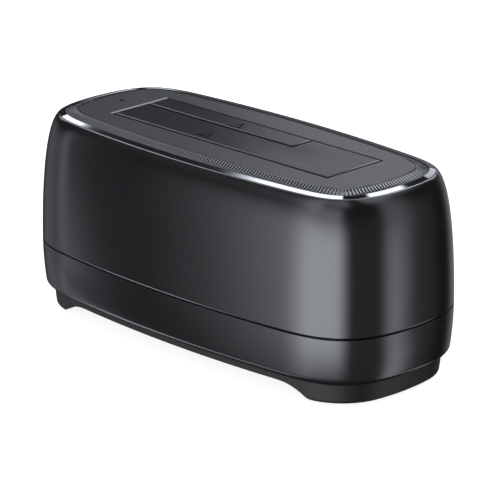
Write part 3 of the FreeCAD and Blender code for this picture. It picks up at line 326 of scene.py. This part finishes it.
def buildDrawn():
    group, given, made = startGroup("drawnMetal", [
        ("Dark", "Color", tone(0.3)), ("Light", "Color", tone(0.5)),
        ("Stretch", "Vector", (200.0, 4000.0, 4000.0)),
        ("Roughness", "Float", 0.2), ("Spread", "Float", 0.1)], effectOutputs)
    place = put(group, "ShaderNodeTexCoord").outputs["Object"]
    lined = put(group, "ShaderNodeVectorMath", {0: place, 1: given["Stretch"]}, operation="MULTIPLY")
    streak = noise(group, lined.outputs[0], 1.0, drawnDetail)
    return endEffect(group, given, made, streak, streak)


def buildSoftEdge():
    group, given, made = startGroup("softEdge", [("Radius", "Float", 0.0002)], [("Normal", "Vector")])
    eased = put(group, "ShaderNodeBevel", {"Radius": given["Radius"]}, samples=edgeSamples)
    group.links.new(eased.outputs[0], made["Normal"])
    return group


mouldedGrain = buildGrain(grainMix)
softEdge = buildSoftEdge()
drawnMetal = buildDrawn()


# each finish: a new material, one effect with the finish's own values, then a bump
def newMaterial(name):
    material = bpy.data.materials.new(name)
    material.use_nodes = True
    tree = material.node_tree
    tree.nodes.clear()
    shader = put(tree, "ShaderNodeBsdfPrincipled")
    put(tree, "ShaderNodeOutputMaterial", {"Surface": shader.outputs[0]})
    return material, tree, shader


def useEffect(tree, shader, effect, look):
    labels = [item.name for item in effect.interface.items_tree if item.in_out == "INPUT"]
    values = {label: look[label.lower()] for label in labels}
    made = put(tree, "ShaderNodeGroup", values, node_tree=effect).outputs
    tree.links.new(made["Colour"], shader.inputs["Base Color"])
    tree.links.new(made["Roughness"], shader.inputs["Roughness"])
    return made["Height"]


def useBump(tree, shader, strength, depth, height):
    bump = put(tree, "ShaderNodeBump", {"Strength": strength, "Distance": depth, "Height": height})
    tree.links.new(bump.outputs[0], shader.inputs["Normal"])
    return bump


plasticBase = {"bumpDepth": 0.0001, "ior": 1.5}
metalBase = {"bumpDepth": 0.00002}


def plastic(name, look):
    material, tree, shader = newMaterial(name)
    height = useEffect(tree, shader, mouldedGrain, look)
    bump = useBump(tree, shader, look["bump"], plasticBase["bumpDepth"], height)
    if "edge" in look:
        eased = put(tree, "ShaderNodeGroup", {"Radius": look["edge"]}, node_tree=softEdge)
        tree.links.new(eased.outputs["Normal"], bump.inputs["Normal"])
    shader.inputs["IOR"].default_value = look.get("ior", plasticBase["ior"])
    return material


def metal(name, look):
    material, tree, shader = newMaterial(name)
    height = useEffect(tree, shader, drawnMetal, look)
    useBump(tree, shader, look["bump"], metalBase["bumpDepth"], height)
    shader.inputs["Metallic"].default_value = 1.0
    return material


def clearPlastic(name, look):
    material, tree, shader = newMaterial(name)
    useEffect(tree, shader, mouldedGrain, look)
    shader.inputs["Transmission Weight"].default_value = 1.0
    shader.inputs["IOR"].default_value = look["ior"]
    return material


# fine and broad are noise scales per metre, edge is an easing radius in metres
plastics = {
    "shellSatin": {"dark": tone(0.004, 0.04), "light": tone(0.006, 0.04), "fine": 5000, "broad": 45,
                   "roughness": 0.18, "spread": 0.04, "bump": 0.04, "edge": 0.00012, "ior": 1.52},
    "plinthMatt": {"dark": tone(0.003), "light": tone(0.005), "fine": 3000, "broad": 70,
                   "roughness": 0.45, "spread": 0.08, "bump": 0.12, "edge": 0.0003, "ior": 1.34},
    "padRubber": {"dark": tone(0.012), "light": tone(0.022), "fine": 2500, "broad": 200,
                  "roughness": 0.8, "spread": 0.1, "bump": 0.4},
    "deckSatin": {"dark": tone(0.016, 0.03), "light": tone(0.020, 0.03), "fine": 6000, "broad": 50,
                  "roughness": 0.36, "spread": 0.05, "bump": 0.08, "edge": 0.00008},
    "ribSatin": {"dark": tone(0.016, 0.03), "light": tone(0.022, 0.03), "fine": 6000, "broad": 90,
                 "roughness": 0.2, "spread": 0.06, "bump": 0.03, "ior": 1.58},
    "doorSatin": {"dark": tone(0.012, 0.06), "light": tone(0.015, 0.06), "fine": 6000, "broad": 50,
                  "roughness": 0.26, "spread": 0.06, "bump": 0.08, "edge": 0.00008, "ior": 1.31},
    "markPaint": {"dark": tone(0.001), "light": tone(0.002), "fine": 5000, "broad": 300,
                  "roughness": 0.9, "spread": 0.1, "bump": 0.1, "ior": 1.05},
    "linerMatt": {"dark": tone(0.010), "light": tone(0.016), "fine": 3000, "broad": 60,
                  "roughness": 0.5, "spread": 0.08, "bump": 0.15},
    "socketMoulded": {"dark": tone(0.012), "light": tone(0.02), "fine": 4000, "broad": 150,
                      "roughness": 0.45, "spread": 0.1, "bump": 0.1, "edge": 0.0001},
    "buttonSatin": {"dark": tone(0.02, 0.03), "light": tone(0.027, 0.03), "fine": 6000, "broad": 120,
                    "roughness": 0.3, "spread": 0.05, "bump": 0.05, "edge": 0.0003},
    "chipEpoxy": {"dark": tone(0.014), "light": tone(0.03), "fine": 9000, "broad": 400,
                  "roughness": 0.6, "spread": 0.15, "bump": 0.2},
    "ferrite": {"dark": tone(0.03), "light": tone(0.06), "fine": 7000, "broad": 500,
                "roughness": 0.7, "spread": 0.15, "bump": 0.3},
    "boardMask": {"dark": (0.006, 0.035, 0.02, 1), "light": (0.012, 0.07, 0.035, 1),
                  "fine": 900, "broad": 250, "roughness": 0.35, "spread": 0.15, "bump": 0.15},
    "lampEpoxy": {"dark": (0.5, 0.52, 0.45, 1), "light": (0.62, 0.64, 0.55, 1),
                  "fine": 3000, "broad": 900, "roughness": 0.25, "spread": 0.1, "bump": 0.05},
}

# stretch is the streaks' scale along each axis, per metre
metals = {
    "trimPolish": {"dark": tone(0.38, 0.02), "light": tone(0.43, 0.02), "stretch": (300, 300, 6000),
                   "roughness": 0.04, "spread": 0.02, "bump": 0.005},
    "rodSteel": {"dark": tone(0.42), "light": tone(0.58), "stretch": (300, 6000, 6000),
                 "roughness": 0.25, "spread": 0.12, "bump": 0.1},
    "springSteel": {"dark": tone(0.35), "light": tone(0.5), "stretch": (3000, 3000, 3000),
                    "roughness": 0.3, "spread": 0.12, "bump": 0.1},
    "contactGold": {"dark": (0.75, 0.5, 0.18, 1), "light": (0.9, 0.65, 0.28, 1),
                    "stretch": (3000, 3000, 500), "roughness": 0.22, "spread": 0.1, "bump": 0.05},
    "canMetal": {"dark": tone(0.55), "light": tone(0.7), "stretch": (800, 5000, 5000),
                 "roughness": 0.25, "spread": 0.15, "bump": 0.08},
    "portSteel": {"dark": tone(0.5), "light": tone(0.66), "stretch": (4000, 400, 4000),
                  "roughness": 0.22, "spread": 0.12, "bump": 0.08},
    "screwSteel": {"dark": tone(0.2), "light": tone(0.32), "stretch": (3000, 3000, 3000),
                   "roughness": 0.35, "spread": 0.15, "bump": 0.1},
}

pipeClear = {"dark": tone(0.86), "light": tone(0.94), "fine": 1500, "broad": 200,
             "roughness": 0.12, "spread": 0.08, "ior": 1.49}

finishes = {name: plastic(name, look) for name, look in plastics.items()}
finishes.update({name: metal(name, look) for name, look in metals.items()})
finishes["pipeClear"] = clearPlastic("pipeClear", pipeClear)

coats = {
    "upper_shell": "shellSatin", "base_shell": "shellSatin", "plinth": "plinthMatt",
    "rubber_pads": "padRubber", "trim_ring": "trimPolish", "knurled_ring": "ribSatin",
    "top_deck": "deckSatin", "large_door": "doorSatin", "small_door": "doorSatin",
    "hinge_rod": "rodSteel", "large_door_spring": "springSteel", "small_door_spring": "springSteel",
    "bay_liner": "linerMatt", "main_board": "boardMask", "sata_socket": "socketMoulded",
    "sata_contacts": "contactGold", "bridge_chip": "chipEpoxy", "clock_crystal": "canMetal",
    "power_inductor": "ferrite", "filter_capacitors": "canMetal", "usb_socket": "portSteel",
    "usb_tongue": "socketMoulded", "dc_jack": "socketMoulded", "dc_pin": "contactGold",
    "power_switch": "socketMoulded", "power_button": "buttonSatin", "status_lamp": "lampEpoxy",
    "light_pipe": "pipeClear", "bay_screws": "screwSteel", "board_screws": "screwSteel",
    "base_screws": "screwSteel",
}
for name, finish in coats.items():
    mesh = parts[name].data
    mesh.materials.clear()
    mesh.materials.append(finishes[finish])
print("finishes:", len(finishes))


def addPiece(name, shape, finish, sharp, body="housing"):
    mesh = smoothMesh(name, shape)
    mesh.set_sharp_from_angle(angle=math.radians(sharp))
    mesh.materials.append(finishes[finish])
    piece = bpy.data.objects.new(name, mesh)
    scene.collection.objects.link(piece)
    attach(piece, body)
    return piece


# plan of the body: a long side arc, an end arc and a corner arc between them, the same in all four quarters
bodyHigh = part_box("upper_shell")[1]
plan = {
    "halfLength": bodyHigh[0] / mm, "halfWidth": bodyHigh[1] / mm,
    "sideRadius": 500, "endRadius": 84, "cornerRadius": 21.4,
    "columns": 760, "ease": 12.0,  # ease: reach along the plan over which one arc runs into the next
}


def planArcs(look):
    side = Vector((0, look["sideRadius"] - look["halfWidth"]))
    end = Vector((look["halfLength"] - look["endRadius"], 0))
    toSide = look["sideRadius"] - look["cornerRadius"]
    toEnd = look["endRadius"] - look["cornerRadius"]
    apart = (end - side).length
    along = (end - side) / apart
    reach = (toSide ** 2 - toEnd ** 2 + apart ** 2) / (2 * apart)
    corner = side + along * reach + Vector((-along.y, along.x)) * math.sqrt(toSide ** 2 - reach ** 2)
    first = math.atan2(corner.x - side.x, side.y - corner.y)
    second = math.atan2(corner.x - end.x, end.y - corner.y)
    return [(side, look["sideRadius"], 0, first), (corner, look["cornerRadius"], first, second),
            (end, look["endRadius"], second, math.pi / 2)]


# evenly spaced columns round the plan, each a spot and the way out from it
def walkPlan(look):
    arcs = planArcs(look)
    lengths = [radius * (last - start) for _, radius, start, last in arcs]
    quarter = sum(lengths)
    columns = []
    for i in range(look["columns"]):
        turn, way = divmod(4 * quarter * i / look["columns"], quarter)
        way = quarter - way if turn % 2 else way
        for (centre, radius, start, last), length in zip(arcs, lengths):
            if way <= length or last >= math.pi / 2:
                break
            way -= length
        angle = start + way / radius
        flipX = -1 if turn in (2, 3) else 1
        flipY = -1 if turn in (1, 2) else 1
        out = Vector((math.sin(angle), -math.cos(angle)))
        spot = centre + radius * out
        columns.append((Vector((spot.x * flipX, spot.y * flipY)), Vector((out.x * flipX, out.y * flipY))))
    return columns


def easePlan(columns, length):
    count = len(columns)
    reach = round(length / (columns[1][0] - columns[0][0]).length)
    eased = []
    for i in range(count):
        near = [columns[(i + k) % count] for k in range(-reach, reach + 1)]
        eased.append((sum((spot for spot, _ in near), Vector((0, 0))) / len(near),
                      sum((out for _, out in near), Vector((0, 0))).normalized()))
    return eased


def setIn(spot, out, inset, height):
    return ((spot.x - inset * out.x) * mm, (spot.y - inset * out.y) * mm, height * mm)


# a section row is an inset and a height, or a function that places each column
def sweepRing(name, columns, section, finish, sharp, closed=True):
    shape = bmesh.new()
    rows = []
    for row in section:
        if callable(row):
            places = [row(i, spot, out) for i, (spot, out) in enumerate(columns)]
        else:
            places = [setIn(spot, out, *row) for spot, out in columns]
        rows.append([shape.verts.new(place) for place in places])
    for near, far in zip(rows, rows[1:] + (rows[:1] if closed else [])):
        bridge(shape, near, far)
    if not closed:
        shape.faces.new(rows[0])
        shape.faces.new(rows[-1][::-1])
    bmesh.ops.recalc_face_normals(shape, faces=shape.faces)
    return addPiece(name, shape, finish, sharp)


def bezier(points, steps):
    def at(t):
        weights = ((1 - t) ** 3, 3 * t * (1 - t) ** 2, 3 * t * t * (1 - t), t ** 3)
        return tuple(sum(w * p[k] for w, p in zip(weights, points)) for k in (0, 1))
    return [at(i / steps) for i in range(steps + 1)]


# one round corner, written as a cubic curve
def bend(first, corner, last, steps):
    handles = [tuple(p + (c - p) * 2 / 3 for p, c in zip(point, corner)) for point in (first, last)]
    return bezier([first] + handles + [last], steps)


def arc(centre, radius, start, last, steps):
    angles = [math.radians(start + (last - start) * i / steps) for i in range(steps + 1)]
    return [(centre[0] + radius * math.cos(a), centre[1] + radius * math.sin(a)) for a in angles]


def circle(centre, radius, count):
    return arc(centre, radius, 0, 360 - 360 / count, count - 1)


bodyColumns = easePlan(walkPlan(plan), plan["ease"])

# upper shell: upright at the split, drawn in to the rim, with the flange that carries the deck
upperSkin = {
    "split": 25.5, "rim": 72.1, "wall": 2.2, "steps": 26, "sharp": 18.0,
    "bevel": 0.42, "draw": 0.16,  # flat bevel above the split, and how far its foot is drawn in
    "lowPull": 0.1, "highPull": 0.106, "highLean": 0.035,  # the curve's handles, as shares of rise and inset
    "rimInset": 6.6, "rimLand": 0.35, "rimEase": 0.6, "rimSteps": 6,
    "deckUnder": 71.0, "flangeUnder": 69.2, "flangeInset": 15.0,
    "innerRoot": 0.55, "innerLean": 0.06, "innerSteps": 10,  # inside, as shares of wall and inset
    "lipSeat": 1.6,
}


def buildUpperSkin(look):
    low, high, wall, inset = look["split"], look["rim"], look["wall"], look["rimInset"]
    under = look["flangeUnder"]
    pull = look["lowPull"] * (high - low)
    seatTop = low + look["lipSeat"]
    outer = bezier([(0, low + look["bevel"]), (0, low + pull),
                    (look["highLean"] * inset, high - look["highPull"] * (high - low)), (inset, high)],
                   look["steps"])
    inner = bezier([(inset + look["innerRoot"] * wall, under),
                    (wall + look["innerLean"] * inset, under - pull),
                    (wall, low + pull), (wall, seatTop)], look["innerSteps"])
    land = inset + look["rimLand"]
    ease = tuple(a + (b - a) * look["rimEase"] for a, b in zip(outer[-2], outer[-1]))
    section = outer[:-1] + bend(ease, (inset, high), (land, high), look["rimSteps"])
    section += [(land, look["deckUnder"]), (look["flangeInset"], look["deckUnder"])]
    section += [(look["flangeInset"], under)]
    section += inner + [(wall / 2, seatTop), (wall / 2, low), (look["draw"], low)]
    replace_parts(sweepRing("upperSkin", bodyColumns, section, "shellSatin", look["sharp"]), "upper_shell")


buildUpperSkin(upperSkin)
print("upper skin built")

# base shell: leaning wall with a round lower edge, closed below, and the flat port panel let into its rear
baseSkin = {
    "split": 25.5, "gap": 0.5, "bottom": 8.0, "wall": 2.2, "sharp": 30.0,
    "sideRadius": 120.0, "sideSteps": 12, "innerSteps": 6,
    "edgeRadius": 2.4, "edgeSteps": 8, "floorWalls": 3,  # the floor starts this many walls in
    "lip": 1.5, "lipGap": 0.1,
    "panelHalf": 31.0, "panelLow": 12.0, "panelHigh": 24.0, "panelCorner": 2.5, "panelDepth": 2.6,
    "blockSink": 0.5, "blockCorner": 0.2, "blockLap": 0.3, "past": 2,  # past: how far the cutters stand out
    "ports": 22.0, "portWalls": 2, "holeSteps": 60,
    "jackHeight": 19.4, "jackRadius": 4.6, "buttonHeight": 18.8, "buttonRadius": 4.3,
    "usbHeight": 15.4, "usbHalf": 4.75, "usbRadius": 1.9,
}


def prism(name, outline, front, rear):
    shape = bmesh.new()
    ends = [[shape.verts.new((x * mm, y * mm, z * mm)) for x, z in outline] for y in (front, rear)]
    shape.faces.new(ends[0])
    shape.faces.new(ends[1][::-1])
    bridge(shape, ends[1], ends[0])
    bmesh.ops.recalc_face_normals(shape, faces=shape.faces)
    mesh = bpy.data.meshes.new(name)
    shape.to_mesh(mesh)
    shape.free()
    tool = bpy.data.objects.new(name, mesh)
    scene.collection.objects.link(tool)
    return tool


def roundedBox(west, east, low, high, radius, steps=10):
    points = []
    for x, z, start in ((east - radius, low + radius, -90), (east - radius, high - radius, 0),
                        (west + radius, high - radius, 90), (west + radius, low + radius, 180)):
        points += arc((x, z), radius, start, start + 90, steps)
    return points


def carve(piece, tools):
    for operation, tool in tools:
        change = piece.modifiers.new(tool.name, "BOOLEAN")
        change.operation = operation
        change.object = tool
        change.solver = "EXACT"
    bpy.context.view_layer.update()
    carved = bpy.data.meshes.new_from_object(piece.evaluated_get(bpy.context.evaluated_depsgraph_get()))
    piece.modifiers.clear()
    old, piece.data = piece.data, carved
    bpy.data.meshes.remove(old)
    for _, tool in tools:
        bpy.data.meshes.remove(tool.data)


def baseSection(look):
    big, small, top, wall = look["sideRadius"], look["edgeRadius"], look["split"], look["wall"]

    def side(radius, height):
        return big - math.sqrt(radius ** 2 - (top - height) ** 2), height

    edgeHeight = look["bottom"] + small
    edgeInset = side(big - small, edgeHeight)[0]
    lean = math.degrees(math.atan2(top - edgeHeight, big - edgeInset))
    start = math.degrees(math.asin(look["gap"] / big))
    floorTop = look["bottom"] + wall
    floorInset = look["floorWalls"] * wall
    lipTop, lipInset = top + look["lip"], wall / 2 + look["lipGap"]
    count = look["innerSteps"]
    section = [(floorInset, floorTop)]
    section += [side(big - wall, floorTop + (top - floorTop) * i / count) for i in range(count + 1)]
    section += [(wall, lipTop), (lipInset, lipTop), (lipInset, top - look["gap"])]
    section += arc((big, top), big, 180 + start, 180 + lean, look["sideSteps"])
    section += arc((edgeInset, edgeHeight), small, 180 + lean, 270, look["edgeSteps"])[1:]
    return section + [(floorInset, look["bottom"])]


def panelTools(look):
    wall, half = look["wall"], look["panelHalf"]
    usb, usbRadius = look["usbHeight"], look["usbRadius"]
    rear = plan["halfWidth"]
    face = rear - look["panelDepth"]
    outside = rear + look["past"]
    block = roundedBox(-half - wall, half + wall, look["bottom"] + wall - look["blockSink"],
                       look["split"] - look["gap"], look["blockCorner"], 1)
    recess = roundedBox(-half, half, look["panelLow"], look["panelHigh"], look["panelCorner"])
    ports = {
        "jackWay": circle((-look["ports"], look["jackHeight"]), look["jackRadius"], look["holeSteps"]),
        "buttonWay": circle((look["ports"], look["buttonHeight"]), look["buttonRadius"], look["holeSteps"]),
        "usbWay": roundedBox(-look["usbHalf"], look["usbHalf"], usb - usbRadius, usb + usbRadius, usbRadius),
    }
    tools = [("UNION", prism("panelBlock", block, face - wall, rear - wall + look["blockLap"])),
             ("DIFFERENCE", prism("panelRecess", recess, face, outside))]
    inside = face - look["portWalls"] * wall
    return tools + [("DIFFERENCE", prism(name, outline, inside, outside)) for name, outline in ports.items()]


def buildBaseSkin(look):
    piece = sweepRing("baseSkin", bodyColumns, baseSection(look), "shellSatin", look["sharp"], closed=False)
    carve(piece, panelTools(look))
    piece.data.set_sharp_from_angle(angle=math.radians(look["sharp"]))
    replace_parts(piece, "base_shell")


buildBaseSkin(baseSkin)
print("base skin built")

# trim ring: narrow polished band that slopes up from the rim to the ribbed band
trimBand = {
    "outer": 7.05, "inner": 9.35, "low": 72.0, "high": 72.6, "under": 71.0, "sharp": 15.0,
    "edge": 0.16, "innerDrop": 1.6,  # innerDrop: depth of the inner edge, in edges
}


def buildTrim(look):
    outer, inner, low, high = look["outer"], look["inner"], look["low"], look["high"]
    edge, under = look["edge"], look["under"]
    slope = (high - low) / (inner - outer)
    section = [(outer, under), (outer, low - edge), (outer + edge, low + edge * slope),
               (inner - edge, high - edge * slope), (inner, high - look["innerDrop"] * edge), (inner, under)]
    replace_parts(sweepRing("trimBand", bodyColumns, section, "trimPolish", look["sharp"]), "trim_ring")


buildTrim(trimBand)

# ribbed band: short ribs that climb from the trim ring and end level with the deck
ribBand = {
    "under": 71.0, "pitch": 1.3, "depth": 0.55, "sharp": 28.0,
    "wave": (0.0, 0.0, 0.9, 1.0, 0.9, 0.0),  # one rib, from groove to crest and back
    # inset, crest height, share of the groove depth
    "rows": ((9.45, 72.15, 0.6), (9.75, 72.25, 1.0), (11.6, 72.5, 1.0), (13.1, 73.33, 1.0),
             (13.3, 73.4, 0.4), (13.55, 73.4, 0.0), (13.95, 73.4, 0.0)),
}


def respace(columns, inset, count):
    line = [spot - inset * out for spot, out in columns]
    reach = [0.0]
    for here, following in zip(line, line[1:] + line[:1]):
        reach.append(reach[-1] + (following - here).length)
    spaced = []
    k = 0
    for i in range(count):
        way = reach[-1] * i / count
        while reach[k + 1] < way:
            k += 1
        share = (way - reach[k]) / (reach[k + 1] - reach[k])
        (spotA, outA), (spotB, outB) = columns[k], columns[(k + 1) % len(columns)]
        spaced.append((spotA.lerp(spotB, share), outA.lerp(outB, share).normalized()))
    return spaced


def buildRibs(look):
    insets = [inset for inset, _, _ in look["rows"]]
    middle = (insets[0] + insets[-1]) / 2
    length = 4 * sum((radius - middle) * (last - start) for _, radius, start, last in planArcs(plan))
    perRib = len(look["wave"])
    columns = respace(bodyColumns, middle, perRib * round(length / look["pitch"]))

    def ribRow(inset, crest, share):
        def place(i, spot, out):
            return setIn(spot, out, inset, crest - share * look["depth"] * (1 - look["wave"][i % perRib]))
        return place

    section = [(insets[0], look["under"])]
    section += [ribRow(*row) for row in look["rows"]]
    section += [(insets[-1], look["under"])]
    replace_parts(sweepRing("ribBand", columns, section, "ribSatin", look["sharp"]), "knurled_ring")


buildRibs(ribBand)
print("rings built")


# a welded copy of a flat part, and the height of its face
def copyPart(name, near):
    shape = bmesh.new()
    shape.from_mesh(parts[name].data)
    bmesh.ops.remove_doubles(shape, verts=shape.verts, dist=near * mm)
    return shape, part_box(name)[1][2] / mm


# deck: the rear edge of the opening is left sharper than the other three
deckPlate = {"openingRear": 14.5, "bevel": 0.5, "drop": 0.29, "rearLand": 0.06, "near": 0.01, "sharp": 15.0}


def buildDeck(look):
    near = look["near"]
    shape, face = copyPart("top_deck", near)
    for corner in shape.verts:
        below = face - corner.co.z / mm
        fromEdge = corner.co.y / mm - look["openingRear"] - look["bevel"]
        if below < near and abs(fromEdge) < near:
            corner.co.y = (look["openingRear"] + look["rearLand"]) * mm
        if abs(below - look["bevel"]) < near:
            corner.co.z = (face - look["drop"]) * mm
    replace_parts(addPiece("deckPlate", shape, "deckSatin", look["sharp"]), "top_deck")


buildDeck(deckPlate)

# doors: a narrow flat bevel that catches the light, and edges set back to leave a dark line
doorPanels = {
    "panel": 2.0, "bevel": 0.45, "land": 0.5, "drop": 0.19, "near": 0.01, "sharp": 15.0,
    # axis, place and setback of each edge that faces a gap
    "edges": {"large_door": ((1, -12.2, 0.3), (0, 52.6, -0.4), (1, 3.95, -0.2), (0, 20.2, 0.25)),
              "small_door": ((1, 4.65, 0.3), (0, 19.8, -0.35))},
}


def buildDoors(look):
    near = look["near"]
    for door, edges in look["edges"].items():
        shape, face = copyPart(door, near)
        for corner in shape.verts:
            spot = corner.co / mm
            below = face - spot.z
            if below > look["panel"] + near:
                continue
            for axis, place, setback in edges:
                inward = math.copysign(1, setback)
                if below < near and abs(spot[axis] - place - inward * look["bevel"]) < near:
                    corner.co[axis] = (place + setback + inward * look["land"]) * mm
                elif below > near and abs(spot[axis] - place) < near:
                    corner.co[axis] = (place + setback) * mm
            if abs(below - look["bevel"]) < near:
                corner.co.z = (face - look["drop"]) * mm
        name = door.split("_")[0] + "Door"
        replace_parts(addPiece(name, shape, "doorSatin", look["sharp"], door), door)


buildDoors(doorPanels)
print("deck and doors built")

# pointer marks: dark paint in the sunk triangle of each door
pointerMarks = {
    "left": 10.5, "width": 6.0, "length": 5.8, "line": 0.6,
    "sunk": 0.3, "fill": 0.24, "play": 0.03, "sharp": 30.0,
    "middles": {"large_door": -6.7, "small_door": 8.6},
}


def buildMarks(look):
    tip = 1 / math.sin(math.atan(look["width"] / (2 * look["length"])))

    def triangle(middle, inset, height):
        low = middle - look["length"] / 2 + inset
        scale = 1 - inset * (1 + tip) / look["length"]
        half = scale * look["width"] / 2
        corners = ((-half, low), (half, low), (0, low + scale * look["length"]))
        return [Vector((x - look["left"], y, height)) * mm for x, y in corners]

    outer, inner = look["play"], look["line"] - look["play"]
    for door, middle in look["middles"].items():
        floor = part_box(door)[1][2] / mm - look["sunk"]
        top = floor + look["fill"]
        shape = bmesh.new()
        rows = [[shape.verts.new(spot) for spot in triangle(middle, inset, height)]
                for inset, height in ((outer, floor), (outer, top), (inner, top), (inner, floor))]
        for near, far in zip(rows, rows[1:] + rows[:1]):
            bridge(shape, near, far)
        bmesh.ops.recalc_face_normals(shape, faces=shape.faces)
        addPiece(door.split("_")[0] + "Mark", shape, "markPaint", look["sharp"], door)


buildMarks(pointerMarks)
print("pointer marks built")
